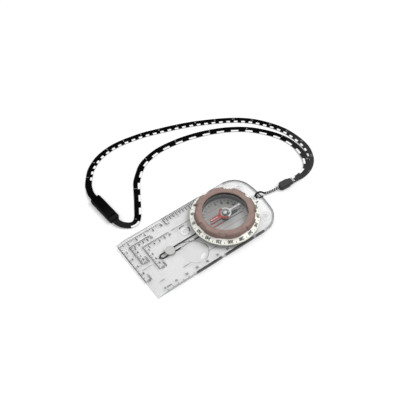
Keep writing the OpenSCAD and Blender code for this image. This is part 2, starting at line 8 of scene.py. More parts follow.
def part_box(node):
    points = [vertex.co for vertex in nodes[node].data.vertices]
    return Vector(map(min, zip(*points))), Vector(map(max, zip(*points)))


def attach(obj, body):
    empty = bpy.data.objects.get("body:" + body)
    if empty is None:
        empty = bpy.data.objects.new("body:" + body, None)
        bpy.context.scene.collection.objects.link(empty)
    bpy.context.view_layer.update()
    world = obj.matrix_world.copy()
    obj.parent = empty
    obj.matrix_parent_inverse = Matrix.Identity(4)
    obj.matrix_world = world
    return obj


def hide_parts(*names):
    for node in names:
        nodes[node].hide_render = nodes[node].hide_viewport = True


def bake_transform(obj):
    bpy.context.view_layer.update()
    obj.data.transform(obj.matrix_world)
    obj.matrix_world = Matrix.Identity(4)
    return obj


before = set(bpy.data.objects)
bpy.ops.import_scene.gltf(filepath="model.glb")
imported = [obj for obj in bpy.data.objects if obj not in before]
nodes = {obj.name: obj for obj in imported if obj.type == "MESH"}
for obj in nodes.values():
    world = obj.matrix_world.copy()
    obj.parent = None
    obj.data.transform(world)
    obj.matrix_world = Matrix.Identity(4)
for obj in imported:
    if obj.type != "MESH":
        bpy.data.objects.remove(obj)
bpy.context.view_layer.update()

MM = 0.001
INK = 0.03      # thickness of a printed mark, in millimetres
UP = Vector((0, 0, 1))


def low(name):
    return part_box(name)[0] / MM


def high(name):
    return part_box(name)[1] / MM


# Sizes taken from the frame, in millimetres
PLATE_LOW, PLATE_HIGH = low("baseplate"), high("baseplate")
PLATE_W = PLATE_HIGH.x - PLATE_LOW.x
PLATE_UNDER = PLATE_LOW.z
PLATE_TOP = high("luminous_disc").z
DIAL = Vector((0, (low("capsule_cover").y + high("capsule_cover").y) / 2, 0))
RING_R = high("dial_ring").x
CAPSULE_R = high("capsule_cover").x
GRIP_LOW_Z, GRIP_TOP_Z = low("bezel_grip").z, high("bezel_grip").z
GRIP_R = -low("bezel_grip").x
ORIENT_TOP = high("orienting_disc").z
NEEDLE_TOP, CAP_TOP = high("needle_north_arm").z, high("bearing_cap").z
COVER_UNDER = low("capsule_cover").z

# Places on the plate, with the reach of the lens's step, of the painted shade round the disc and of the
# painted light over the front foot
LENS, LENS_R = (-12.7, 15.6), 10.3
LANYARD_HOLE = (1.2, -58.2)
DISC, DISC_SHADE_R = (-1.0, 30.4), 4.6
FEET, FOOT_LIGHT_R = ((8.8, 10), (18.3, -52.8), (-18.3, -52.8)), 4.3
FOOT = FEET[0]
REAR_CORNER_R, REAR_BOW_R = 18, 95

# Routes of the lanyard, in millimetres, as the solids have them
STRING_ROUTE = [
    (-1.7, -80.9, 2.3), (-1.2, -78.5, 2), (-0.8, -75.8, 1.6), (-0.2, -72.8, 1.3), (0.3, -70.2, 1.2),
    (0.8, -68, 1.5), (1.3, -66.6, 2.3), (1.9, -65.5, 3.3), (2.5, -64.3, 4.2), (2.9, -62.7, 4.8),
    (3.1, -61, 4.9), (3, -59.7, 4.8), (2.6, -58.8, 4.4), (2.1, -58.4, 3.5), (1.5, -58.7, 2.3),
    (0.9, -59.5, 1.1), (0.1, -60.7, 0.65), (-0.5, -62, 0.65), (-0.3, -63.5, 0.65), (0.2, -64.7, 0.75)]
STRING_TAIL_POINTS = 6
OUTER_ROUTE = [
    (80.9, 51.4, 2.2), (84, 51.6, 2.1), (88.5, 51.1, 1.4), (93, 49.6, 0.8), (97.5, 47.7, 0.45),
    (104, 43, 0.45), (111, 36.5, 0.45), (117.5, 25.5, 0.45), (120.5, 13.5, 0.45), (121, 2.5, 0.45),
    (119.5, -9.5, 0.45), (117, -22, 0.45), (113.5, -33, 0.45), (108.3, -48.5, 0.45), (101.6, -65, 0.45),
    (93.2, -81.5, 0.45), (86.2, -93.5, 0.45), (79, -103.5, 0.45), (71, -111.8, 0.45),
    (62, -118.5, 0.45), (51.5, -124.5, 0.45), (41, -128.2, 0.45), (28, -130, 0.45), (18, -129.2, 0.45),
    (8.5, -125, 0.45), (2.8, -119.5, 0.45), (-0.6, -113, 0.45), (-2.1, -106, 0.45), (-2.3, -99.5, 1),
    (-2.35, -93.4, 1.85)]
INNER_ROUTE = [
    (52.1, 49.4, 2.2), (49.2, 49.2, 2.1), (46, 47.7, 1.6), (43, 44.8, 1), (40.8, 41, 0.6),
    (41, 36.4, 0.45), (45, 32, 0.45), (52, 27.5, 0.45), (59.6, 22.7, 0.45), (67.5, 18, 0.45),
    (75.5, 13, 0.45), (82.5, 6, 0.45), (88.5, -1.5, 0.45), (92.2, -11.5, 0.45), (94, -22.5, 0.45),
    (93.5, -35.5, 0.45), (91, -51, 0.45), (86.3, -67, 0.45), (80, -81.5, 0.45),
    (73.4, -92.5, 0.45), (66, -102, 0.45), (57.6, -109.5, 0.45), (48.5, -116, 0.45), (38.5, -120.7, 0.45),
    (28, -122.9, 0.6), (17.5, -122.2, 1.3), (8.3, -119.5, 1.4), (1.3, -113.9, 1.4), (-1.7, -105.5, 1.4),
    (-2.3, -99, 1.9), (-2.35, -93.4, 2.75)]
STRAP_W, STRAP_END_W, STRAP_T, STRAP_ROUND = 5.7, 5.0, 0.8, 0.3
STRAP_PINCH, STRAP_TAPER = 12, 6    # length that the cord end pinches, and length over which a strap narrows
STRING_W, STRING_PITCH, STRING_STEP = 1.8, 4.4, 0.3     # the step is between the points of its route
# The string's two plies and two light yarns laid between them as painted highlights: start in turns, distance
# from the middle, radius and the finish's number
STRING_PLIES = ((0, 0.52, 0.64, 0), (0.5, 0.52, 0.64, 0), (0.25, 0.78, 0.27, 1), (0.75, 0.78, 0.27, 1))

# Studio: lamps by name, place, size (both in metres) and power, and the levels of the world and the floor
LAMPS = (("key", (-0.17, -0.62, 0.95), 0.7, 4.9), ("fill", (0.75, 0.45, 0.7), 0.6, 1.0))
WORLD_LEVEL, FLOOR_GLOW = 0.72, 0.1
FLOOR_HALF, FLOOR_DROP = 3.0, 0.00005

# ---------------------------------------------------------------- camera, light and floor


def make_camera():
    azimuth, elevation, roll = math.radians(234.195), math.radians(53.256), math.radians(-0.387)
    target = Vector((27.21, -18.88, 2.2)) * MM
    distance = 0.6633
    level = math.cos(elevation)
    back = Vector((math.sin(azimuth) * level, -math.cos(azimuth) * level, math.sin(elevation)))
    right = UP.cross(back).normalized()
    up = back.cross(right)
    turned_right = math.cos(roll) * right + math.sin(roll) * up
    turned_up = math.cos(roll) * up - math.sin(roll) * right
    data = bpy.data.cameras.new("camera")
    data.sensor_width = 36
    data.lens = 71.2
    data.clip_start, data.clip_end = 0.01, 20
    camera = bpy.data.objects.new("camera", data)
    bpy.context.collection.objects.link(camera)
    turn = Matrix((turned_right, turned_up, back)).transposed()
    camera.matrix_world = Matrix.Translation(target + distance * back) @ turn.to_4x4()
    bpy.context.scene.camera = camera


def hex_colour(code):
    """sRGB hex to the linear colour that a shader takes."""
    parts = [int(code[i:i + 2], 16) / 255 for i in (1, 3, 5)]
    return tuple(c / 12.92 if c <= 0.04045 else ((c + 0.055) / 1.055) ** 2.4 for c in parts) + (1,)


def add(tree, kind, inputs=None, stops=(), **settings):
    """A node with its settings and links. An input takes a value, a hex colour, a node's output, or a node
    for its first output; stops are a colour ramp's positions and colours."""
    made = tree.nodes.new(kind)
    for name, value in settings.items():
        setattr(made, name, value)
    for name, value in (inputs or {}).items():
        if isinstance(value, bpy.types.Node):
            value = value.outputs[0]
        if isinstance(value, bpy.types.NodeSocket):
            tree.links.new(value, made.inputs[name])
        else:
            made.inputs[name].default_value = hex_colour(value) if isinstance(value, str) else value
    if stops:
        elements = made.color_ramp.elements
        for element, (where, code) in zip(elements, (stops[0], stops[-1])):
            element.position = where
            element.color = hex_colour(code)
        for where, code in stops[1:-1]:
            elements.new(where).color = hex_colour(code)
    return made


def make_light():
    world = bpy.data.worlds.new("studio")
    bpy.context.scene.world = world
    world.use_nodes = True
    tree = world.node_tree
    tree.nodes.clear()
    path = add(tree, "ShaderNodeLightPath").outputs
    seen = add(tree, "ShaderNodeMath", {0: path["Is Camera Ray"], 1: path["Is Transmission Ray"]},
               operation="MAXIMUM")
    strength = add(tree, "ShaderNodeMapRange", {"Value": seen, "To Min": WORLD_LEVEL, "To Max": 1.0})
    lit = add(tree, "ShaderNodeBackground", {"Color": "#FFFFFF", "Strength": strength})
    add(tree, "ShaderNodeOutputWorld", {"Surface": lit})
    for name, place, size, energy in LAMPS:
        data = bpy.data.lights.new(name, "AREA")
        data.shape = "DISK"
        data.size = size
        data.energy = energy
        lamp = bpy.data.objects.new(name, data)
        lamp.location = place
        lamp.rotation_euler = (-Vector(place)).to_track_quat("-Z", "Y").to_euler()
        bpy.context.collection.objects.link(lamp)


def make_floor():
    """Matt white studio floor, whose own colour makes the white ground; it keeps the shadow."""
    mat = bpy.data.materials.new("studio_paper")
    mat.use_nodes = True
    tree = mat.node_tree
    tree.nodes.clear()
    path = add(tree, "ShaderNodeLightPath").outputs
    seen = path["Is Camera Ray"]
    for ray in ("Is Glossy Ray", "Is Transmission Ray"):
        seen = add(tree, "ShaderNodeMath", {0: seen, 1: path[ray]}, operation="MAXIMUM")
    lift = add(tree, "ShaderNodeMath", {0: seen, 1: FLOOR_GLOW}, operation="MULTIPLY")
    paper = add(tree, "ShaderNodeBsdfDiffuse", {"Color": (0.95, 0.95, 0.95, 1)})
    glow = add(tree, "ShaderNodeEmission", {"Color": "#FFFFFF", "Strength": lift})
    both = add(tree, "ShaderNodeAddShader", {0: paper, 1: glow})
    add(tree, "ShaderNodeOutputMaterial", {"Surface": both})
    mesh = bpy.data.meshes.new("floor")
    corners = [(x * FLOOR_HALF, y * FLOOR_HALF, -FLOOR_DROP) for x, y in ((-1, -1), (1, -1), (1, 1), (-1, 1))]
    mesh.from_pydata(corners, [], [(0, 1, 2, 3)])
    mesh.materials.append(mat)
    floor = bpy.data.objects.new("floor", mesh)
    bpy.context.collection.objects.link(floor)


bpy.context.scene.view_settings.view_transform = "Standard"
make_camera()
make_light()
make_floor()

# ---------------------------------------------------------------- what materials share


def surface(name, colour, roughness, ior=1.5, metallic=0.0, transmission=0.0, sheen=0.0, coat=0.0, gloss=0.5):
    """A material with its tree, its shader and the object coordinates in millimetres."""
    mat = bpy.data.materials.new(name)
    mat.use_nodes = True
    tree = mat.node_tree
    tree.nodes.clear()
    shader = add(tree, "ShaderNodeBsdfPrincipled", {
        "Base Color": colour, "Roughness": roughness, "IOR": ior, "Metallic": metallic,
        "Transmission Weight": transmission, "Sheen Weight": sheen, "Coat Weight": coat,
        "Specular IOR Level": gloss})
    add(tree, "ShaderNodeOutputMaterial", {"Surface": shader})
    spot = add(tree, "ShaderNodeTexCoord").outputs["Object"]
    place = add(tree, "ShaderNodeMapping", {"Vector": spot, "Scale": (1000, 1000, 1000)}).outputs[0]
    return mat, tree, shader, place


def painted(tree, shader, base, *layers):
    """Colours the shader: a base under layers, each with the share of it that shows and its colour."""
    for share, colour in layers:
        base = add(tree, "ShaderNodeMix", {0: share, 6: base, 7: colour}, data_type="RGBA").outputs[2]
    tree.links.new(base, shader.inputs["Base Color"])


def mottling(tree, place, low_colour, high_colour, scale, detail=3.0):
    """Slow change between two colours, at a scale per millimetre."""
    noise = add(tree, "ShaderNodeTexNoise", {"Vector": place, "Scale": scale, "Detail": detail})
    tones = add(tree, "ShaderNodeValToRGB", {"Fac": noise}, [(0.35, low_colour), (0.65, high_colour)])
    return tones.outputs[0]


def raised(tree, shader, pattern, depth, reach=1.0):
    """Raises the surface by a pattern, up to a reach in millimetres times its depth."""
    bump = add(tree, "ShaderNodeBump", {"Height": pattern, "Strength": depth, "Distance": reach * MM})
    tree.links.new(bump.outputs[0], shader.inputs["Normal"])


def grained(tree, shader, place, scale, detail, depth, reach=1.0):
    """An uneven surface, its grain at a scale per millimetre."""
    noise = add(tree, "ShaderNodeTexNoise", {"Vector": place, "Scale": scale, "Detail": detail})
    raised(tree, shader, noise, depth, reach)


def see_through_shadow(tree, shader, share, solid=1.0):
    """Lets that share of the lamps' light through clear plastic on its way to what lies under it."""
    in_shadow = add(tree, "ShaderNodeLightPath").outputs["Is Shadow Ray"]
    alpha = add(tree, "ShaderNodeMapRange", {"Value": in_shadow, "To Min": solid, "To Max": 1.0 - share})
    tree.links.new(alpha.outputs[0], shader.inputs["Alpha"])


def where_all(tree, *tests):
    """1 where all tests hold, each a value, a comparison and its limit."""
    mask = None
    for value, comparison, limit in tests:
        test = add(tree, "ShaderNodeMath", {0: value, 1: limit}, operation=comparison)
        mask = test if mask is None else add(tree, "ShaderNodeMath", {0: mask, 1: test}, operation="MULTIPLY")
    return mask


def within(tree, place, x, y, reach):
    """1 within that distance of a spot on the plate's face."""
    away = add(tree, "ShaderNodeVectorMath", {0: place, 1: (x, y, PLATE_TOP)}, operation="DISTANCE")
    return where_all(tree, (away.outputs["Value"], "LESS_THAN", reach))


def along_plate(tree, place):
    """Distance from the plate's middle line and the share of its length from the rear."""
    spot = add(tree, "ShaderNodeSeparateXYZ", {0: place}).outputs
    share = add(tree, "ShaderNodeMapRange", {"Value": spot["Y"], "From Min": PLATE_LOW.y,
                                             "From Max": PLATE_HIGH.y})
    return spot["X"], share


def about_dial(tree, place):
    """Distance from the dial's axis and height, both in millimetres."""
    centred = add(tree, "ShaderNodeVectorMath", {0: place, 1: tuple(-DIAL)}, operation="ADD")
    spot = add(tree, "ShaderNodeSeparateXYZ", {0: centred}).outputs
    flat = add(tree, "ShaderNodeCombineXYZ", {"X": spot["X"], "Y": spot["Y"]})
    out = add(tree, "ShaderNodeVectorMath", {0: flat}, operation="LENGTH")
    return out.outputs["Value"], spot["Z"]


def leaning(tree, level, steep):
    """0 where the surface faces up and 1 where it leans; both limits are heights of the unit normal."""
    normal = add(tree, "ShaderNodeNewGeometry").outputs["Normal"]
    height = add(tree, "ShaderNodeSeparateXYZ", {0: normal}).outputs["Z"]
    return add(tree, "ShaderNodeMapRange", {"Value": height, "From Min": level, "From Max": steep})


# ---------------------------------------------------------------- materials


def edge_streaks(tree, share, plain):
    """Black total reflections along the plate's left edge, by the share of its length from the rear."""
    return add(tree, "ShaderNodeValToRGB", {"Fac": share}, [
        (0.0, plain), (0.155, plain), (0.162, "#4A4A4A"), (0.2, "#2A2A2A"), (0.232, "#303030"),
        (0.237, "#9A9C9C"), (0.247, "#8A8C8C"), (0.252, "#161616"), (0.36, "#0C0C0C"), (0.42, "#101010"),
        (0.473, "#2A2A2A"), (0.48, plain), (0.5, plain), (0.507, "#4A4A4A"), (0.56, "#1C1C1C"),
        (0.6, "#242424"), (0.66, "#3A3A3A"), (0.698, "#4E4E4E"), (0.71, plain), (1.0, plain)])


def near_rear_rim(tree, place, band):
    """1 within that distance of the plate's rounded rear end."""
    corner = PLATE_HIGH.x - REAR_CORNER_R
    bow_y = PLATE_LOW.y + REAR_BOW_R
    corner_y = bow_y - math.sqrt((REAR_BOW_R - REAR_CORNER_R) ** 2 - corner ** 2)
    spot = add(tree, "ShaderNodeSeparateXYZ", {0: place}).outputs
    side = add(tree, "ShaderNodeMath", {0: spot["X"]}, operation="ABSOLUTE")
    flat = add(tree, "ShaderNodeCombineXYZ", {"X": side, "Y": spot["Y"]})
    from_bow, from_corner = (
        add(tree, "ShaderNodeVectorMath", {0: flat, 1: centre}, operation="DISTANCE").outputs["Value"]
        for centre in ((0, bow_y, 0), (corner, corner_y, 0)))
    turned = where_all(tree, (from_corner, "GREATER_THAN", REAR_CORNER_R - band),
                       (side, "GREATER_THAN", corner), (spot["Y"], "LESS_THAN", corner_y))
    bowed = where_all(tree, (from_bow, "GREATER_THAN", REAR_BOW_R - band))
    return add(tree, "ShaderNodeMath", {0: turned, 1: bowed}, operation="MAXIMUM")


def acrylic():
    # Cast acrylic sheet, polished and water clear. Its tint is painted light and shade, near white at the
    # rear end and greyer toward the front, with the left edge's total reflections beside it
    mat, tree, shader, place = surface("cast_acrylic", "#DDDEDE", 0.015, ior=1.49, transmission=1.0)
    side, share = along_plate(tree, place)
    # Painted light and shade along the plate
    face = add(tree, "ShaderNodeValToRGB", {"Fac": share}, [
        (0.0, "#FAFAFA"), (0.09, "#ECECEC"), (0.2, "#E0E0E0"), (0.45, "#DFDFDF"), (0.75, "#E3E3E3"),
        (1.0, "#DDDDDD")])
    near_left = where_all(tree, (side, "LESS_THAN", PLATE_LOW.x + 1.3))
    painted(tree, shader, face,
            (near_left, edge_streaks(tree, share, "#E6E7E7")),
            # A painted tone over the lens, for how the light through it looks
            (within(tree, place, *LENS, LENS_R), "#DEDEDE"),
            # Painted reflections of the rear edge: a grey band along the rear rim, dark at the very rim
            (near_rear_rim(tree, place, 1.7), "#B6B6B6"),
            (near_rear_rim(tree, place, 0.35), "#707070"),
            # Painted light over the front foot
            (within(tree, place, *FOOT, FOOT_LIGHT_R), "#F6F6F6"),
            # Painted shade round the disc, for its pocket's wall seen through the plate
            (within(tree, place, *DISC, DISC_SHADE_R), "#BCBCBC"))
    grained(tree, shader, place, 0.12, 2.0, 0.02)
    see_through_shadow(tree, shader, 0.94)
    return mat


def acrylic_edge():
    # The sheet's sawn and flame-polished edge, part frosted. Its grey, pale on the right and black where the
    # left one totally reflects, is painted reflection and shade
    mat, tree, shader, place = surface("acrylic_edge_painted_reflections", "#B4B6B6", 0.3, ior=1.49, transmission=0.1)
    side, share = along_plate(tree, place)
    plain = add(tree, "ShaderNodeValToRGB", {"Fac": share}, [
        (0.0, "#787A7A"), (0.18, "#787A7A"), (0.32, "#A0A2A2"), (1.0, "#868888")])
    painted_light = add(tree, "ShaderNodeValToRGB", {"Fac": share}, [
        (0.0, "#F4F4F4"), (0.45, "#E8E8E8"), (1.0, "#D8D9D9")])
    on_right = where_all(tree, (side, "GREATER_THAN", PLATE_HIGH.x - 0.05))
    on_left = where_all(tree, (side, "LESS_THAN", PLATE_LOW.x + 0.6))
    painted(tree, shader, plain, (on_right, painted_light), (on_left, edge_streaks(tree, share, "#B4B6B6")))
    solid = add(tree, "ShaderNodeMapRange", {"Value": on_left, "To Min": 0.88, "To Max": 1.0})
    see_through_shadow(tree, shader, 0.9, solid)
    return mat


def mottled(name, colour, roughness, low_colour, high_colour, scale, detail=3.0, clear=None, **settings):
    """A plain finish that changes slowly between two colours; clear says how it lets the lamps' light by."""
    mat, tree, shader, place = surface(name, colour, roughness, **settings)
    painted(tree, shader, mottling(tree, place, low_colour, high_colour, scale, detail))
    if clear:
        see_through_shadow(tree, shader, *clear)
    return mat


def ring_abs():
    # Moulded ABS, cream and slightly waxy; painted darker and greenish grey down its upright rim, painted
    # shade
    mat, tree, shader, place = surface("cream_abs", "#F8F8EE", 0.4, ior=1.53)
    height = about_dial(tree, place)[1]
    share = add(tree, "ShaderNodeMapRange", {"Value": height, "From Min": 4.0, "From Max": 6.4})
    tone = add(tree, "ShaderNodeValToRGB", {"Fac": share}, [
        (0.0, "#8E9184"), (0.5, "#B9BBAE"), (1.0, "#FFFFF6")])
    painted(tree, shader, tone.outputs[0])
    grained(tree, shader, place, 4.0, 4.0, 0.03)
    return mat


def grip_elastomer():
    # Moulded thermoplastic elastomer in mauve brown: soft-touch, finely matt, its outer slope painted darker
    # as painted shade
    mat, tree, shader, place = surface("mauve_elastomer", "#937E78", 0.58, ior=1.48, sheen=0.1, gloss=0.35)
    out = about_dial(tree, place)[0]
    side = add(tree, "ShaderNodeMapRange", {"Value": out, "From Min": CAPSULE_R + 1.4,
                                            "From Max": CAPSULE_R + 3.2})
    painted(tree, shader, mottling(tree, place, "#8E776F", "#9A837B", 0.25, 4.0), (side, "#77615A"))
    grained(tree, shader, place, 7.0, 3.0, 0.12, 0.15)
    return mat


def capsule_plastic():
    # Clear moulded acrylic for the liquid capsule
    mat, tree, shader, place = surface("clear_moulded_acrylic", "#F2F4F4", 0.02, ior=1.49, transmission=1.0)
    grained(tree, shader, place, 0.2, 2.0, 0.01)
    see_through_shadow(tree, shader, 0.9)
    return mat


def liner_plastic():
    # A near-black wall round the capsule's liquid, painted shade where the capsule's wall looks dark, with a
    # painted grey highlight along its shoulder
    mat, tree, shader, place = surface("painted_shade_wall", "#343431", 0.3, gloss=0.3)
    height = about_dial(tree, place)[1]
    share = add(tree, "ShaderNodeMapRange", {"Value": height, "From Min": 2.6, "From Max": 10.6})
    tone = add(tree, "ShaderNodeValToRGB", {"Fac": share}, [
        (0.0, "#4C4E4B"), (0.25, "#262623"), (0.44, "#2A2B28"), (0.48, "#62665F"), (0.55, "#5A5D57"),
        (0.6, "#30312D"), (1.0, "#262622")])
    painted(tree, shader, tone.outputs[0])
    return mat


def orienting_film():
    # Frosted polycarbonate film over the capsule's floor: its warm grey is painted shade, painted lighter
    # toward the front left and to the left at the rear as painted light
    mat, tree, shader, place = surface("frosted_film_painted_light_and_shade", "#BFC3C3", 0.4, ior=1.58, transmission=0.15)
    centred = add(tree, "ShaderNodeVectorMath", {0: place, 1: tuple(-DIAL)}, operation="ADD")
    to_front_left, to_rear_left = (
        add(tree, "ShaderNodeVectorMath", {0: centred, 1: way}, operation="DOT_PRODUCT").outputs["Value"]
        for way in ((-0.81, 0.585, 0), (-0.69, -0.72, 0)))
    share = add(tree, "ShaderNodeMapRange", {"Value": to_front_left, "From Min": -18.0, "From Max": 18.0})
    noise = add(tree, "ShaderNodeTexNoise", {"Vector": place, "Scale": 0.12, "Detail": 3.0})
    cloud_and_painted_light = add(tree, "ShaderNodeMath", {0: noise, 1: 0.3, 2: share}, operation="MULTIPLY_ADD")
    face = add(tree, "ShaderNodeValToRGB", {"Fac": cloud_and_painted_light}, [
        (0.1, "#A3A2A0"), (0.6, "#B4B2B0"), (1.0, "#CFCDCB")])
    # Painted light to the left at the rear
    painted_light = add(tree, "ShaderNodeMapRange", {"Value": to_rear_left, "From Min": 5.0, "From Max": 16.0,
                                            "To Max": 0.9})
    painted(tree, shader, face, (painted_light, "#F2F2F2"))
    return mat


def white_enamel():
    # Glossy white enamel, with a darker edge painted along both sides of the needle's arm
    mat, tree, shader, place = surface("white_enamel", "#E9E6E6", 0.3, coat=0.3)
    spot = add(tree, "ShaderNodeSeparateXYZ", {0: place})
    side = add(tree, "ShaderNodeMath", {0: spot.outputs["X"]}, operation="ABSOLUTE")
    out = about_dial(tree, place)[0]
    edge = where_all(tree, (side, "GREATER_THAN", 0.75), (out, "GREATER_THAN", 5.0))
    painted(tree, shader, "#EAE7E7", (edge, "#6E6A6A"))
    return mat


def ink(name, colour):
    # Screen-printed ink: slightly uneven cover
    mat, tree, shader, place = surface(name, colour, 0.5, gloss=0.2)
    grained(tree, shader, place, 6.0, 2.0, 0.05, 0.05)
    return mat


def strap_web(name, colour_and_sheen, start, block, pitch, end):
    """Smooth woven polyester ribbon. Its map holds the length along the strap and the distance across it, in
    millimetres; the colours along it are (length, colour) pairs, black with a painted sheen where they turn
    grey, and the white blocks along its printed edge lie between start and end, each of a length and a pitch."""
    mat, tree, shader, _ = surface(name, "#060606", 0.7, gloss=0.02)
    uv = add(tree, "ShaderNodeUVMap", uv_map="strap")
    spot = add(tree, "ShaderNodeSeparateXYZ", {0: uv}).outputs
    along_strap, across = spot["X"], spot["Y"]
    length = colour_and_sheen[-1][0]
    share = add(tree, "ShaderNodeMapRange", {"Value": along_strap, "From Min": 0.0, "From Max": length})
    web = add(tree, "ShaderNodeValToRGB", {"Fac": share}, [(where / length, code) for where, code in colour_and_sheen])
    shifted = add(tree, "ShaderNodeMath", {0: along_strap, 1: -start}, operation="ADD")
    cycle = add(tree, "ShaderNodeMath", {0: shifted, 1: pitch}, operation="MODULO")
    blocks = where_all(tree, (cycle, "LESS_THAN", block), (along_strap, "GREATER_THAN", start),
                       (along_strap, "LESS_THAN", end), (across, "GREATER_THAN", STRAP_W / 2 - 1.75),
                       (across, "LESS_THAN", STRAP_W / 2 + 0.2))
    side = add(tree, "ShaderNodeMapRange", {"Value": across, "From Min": STRAP_W / 2 + 0.1,
                                            "From Max": STRAP_W / 2 + 0.35})
    painted(tree, shader, web, (side, "#2B2B2B"), (blocks, "#F6F6F6"))
    # The weave, as fine ribs along and across
    weave = add(tree, "ShaderNodeTexWave", {"Vector": uv, "Scale": 0.9, "Distortion": 0.4},
                bands_direction="DIAGONAL")
    raised(tree, shader, weave.outputs["Fac"], 0.08, 0.1)
    return mat


def twine(name, colour):
    # Twisted nylon twine: fibres run round each ply
    mat, tree, shader, place = surface(name, colour, 0.75, gloss=0.2)
    wave = add(tree, "ShaderNodeTexWave", {"Vector": place, "Scale": 2.2, "Distortion": 2.0},
               bands_direction="DIAGONAL")
    raised(tree, shader, wave.outputs["Fac"], 0.4, 0.1)
    return mat


def end_pvc():
    # Moulded soft PVC: dark grey, satin, its sloping sides painted darker than its top as painted shade
    mat, tree, shader, place = surface("grey_pvc", "#3C3C3E", 0.45, ior=1.53, gloss=0.3)
    top = mottling(tree, place, "#303032", "#3B3B3D", 0.5)
    painted(tree, shader, top, (leaning(tree, 0.95, 0.6), "#161617"))
    grained(tree, shader, place, 5.0, 3.0, 0.08, 0.1)
    return mat


def buckle_acetal():
    # Moulded acetal, black and satin: painted greyer on its chamfers and toward the plug's end as a painted
    # highlight, and painted black in its groove as painted shade
    mat, tree, shader, place = surface("black_acetal", "#020202", 0.4, ior=1.48, gloss=0.03)
    spot = add(tree, "ShaderNodeSeparateXYZ", {0: place})
    share = add(tree, "ShaderNodeMapRange", {"Value": spot.outputs["X"], "From Min": low("buckle_plug").x,
                                             "From Max": high("buckle_socket").x})
    top = add(tree, "ShaderNodeValToRGB", {"Fac": share}, [
        (0.0, "#202020"), (0.12, "#1E1E1E"), (0.13, "#000000"), (0.165, "#000000"), (0.175, "#121212"),
        (0.5, "#040404"), (1.0, "#010101")])
    painted(tree, shader, top, (leaning(tree, 0.97, 0.8), "#1E1E1E"))
    grained(tree, shader, place, 6.0, 3.0, 0.06, 0.08)
    return mat


ACRYLIC, ACRYLIC_EDGE = acrylic(), acrylic_edge()
BLACK_INK = ink("black_ink", "#161717")
BOLD_INK = ink("bold_black_ink", "#121313")
# The grey serves print and the faint painted glints; the deep grey only the dark painted glints
GREY_INK_AND_GLINT_PAINT = ink("grey_ink_and_painted_glint", "#8A8C8E")
DARK_GLINT_PAINT = ink("painted_dark_glint", "#3A3C3D")
DIAL_INK = ink("dial_ink", "#3E4240")
RED_INK = ink("red_ink", "#A9302C")
FADED_INK = ink("faded_red_ink", "#A77F80")
GREEN_INK = ink("dark_green_ink", "#3A4540")
SCALE_INK = ink("scale_ink", "#303233")
STRAP_INK = ink("strap_ink", "#A4A4A4")
WHITE_INK = ink("white_ink", "#F2F0F0")
PINK_INK = ink("pink_ink", "#EBC9CB")
RUNG_INK = ink("mauve_ink", "#94787A")

# Milky clear silicone, moulded: softer and whiter than the plate
SILICONE = mottled("clear_silicone", "#FFFFFF", 0.6, "#F8F8F8", "#FFFFFF", 0.6, clear=(0.95, 0.2), ior=1.41)
# Luminous polycarbonate: pale grey by day, with fine grains of pigment
LUMINOUS = mottled("luminous_polycarbonate", "#C9CBC8", 0.45, "#BBBDBB", "#C8CAC7", 3.0, 6.0)
# Blackened spring steel, drawn: dark and slightly uneven
SPRING_STEEL = mottled("blackened_spring_steel", "#4A4A4A", 0.38, "#3E3E3F", "#5A5A5B", 1.5, metallic=0.9)
# Nitrile rubber, matt black
RUBBER = mottled("nitrile_rubber", "#262626", 0.7, "#212121", "#2C2C2C", 2.0)
# Clear moulded acetate, as the post and the needle's hub have it
ACETATE = mottled("clear_acetate", "#EDEFEF", 0.06, "#E6E9E9", "#F2F4F4", 0.8, clear=(0.9,), ior=1.3,
                  transmission=0.95)
# Hardened steel, ground to a point and polished
PIN_STEEL = mottled("ground_steel", "#B8B8B8", 0.2, "#ADADAD", "#C4C4C4", 3.0, metallic=1.0)
# Turned brass, satin
BRASS = mottled("turned_brass", "#B59A5A", 0.35, "#A98E50", "#C2A768", 2.0, metallic=1.0)
# Dark green-grey stove enamel on thin sheet
GREEN_ENAMEL = mottled("dark_green_enamel", "#3F4844", 0.5, "#3A433F", "#454E4A", 0.7)
# Synthetic ruby, polished
RUBY = mottled("synthetic_ruby", "#C24A60", 0.05, "#B84056", "#CC566C", 2.0, ior=1.76, transmission=0.6)
# Pressed aluminium, as the bearing's cap has it, and the cap's boss, almost white as a painted highlight
ALUMINIUM = mottled("pressed_aluminium", "#B4B7B8", 0.35, "#A6A9AA", "#C2C5C6", 1.2, metallic=0.5)
HIGHLIGHT_ALUMINIUM = mottled("aluminium_painted_highlight", "#F4F5F5", 0.25, "#EFF0F0", "#FAFAFA", 1.0, metallic=0.5)
# Cobalt steel magnet, dark and slightly rough
COBALT_STEEL = mottled("cobalt_steel", "#55565A", 0.45, "#4B4C50", "#606165", 2.0, metallic=0.9)
# Glossy red stove enamel on the needle's thin sheet
RED_ENAMEL = mottled("red_enamel", "#A31510", 0.3, "#9B110D", "#AC1B15", 0.5, coat=0.3)
CAPSULE, BUCKLE = capsule_plastic(), buckle_acetal()

CAD_FINISHES = {
    "baseplate": ACRYLIC, "friction_feet": SILICONE, "luminous_disc": LUMINOUS, "dial_retainer": SPRING_STEEL,
    "dial_ring": ring_abs(), "bezel_grip": grip_elastomer(), "capsule_cup": CAPSULE, "capsule_cover": CAPSULE,
    "capsule_seal": RUBBER, "fill_plug": RUBBER, "orienting_disc": orienting_film(), "pivot_post": ACETATE,
    "needle_hub": ACETATE, "pivot_pin": PIN_STEEL, "arm_collar": BRASS, "inclinometer_arm": GREEN_ENAMEL,
    "jewel_bearing": RUBY, "bearing_cap": ALUMINIUM, "needle_magnet": COBALT_STEEL,
    "needle_north_arm": RED_ENAMEL, "needle_south_arm": white_enamel(), "cord_end": end_pvc(),
    "buckle_socket": BUCKLE, "buckle_plug": BUCKLE, "string_knot": twine("black_twine", "#161616")}

for name, finish in CAD_FINISHES.items():
    mesh = nodes[name].data
    mesh.materials.clear()
    mesh.materials.append(finish)

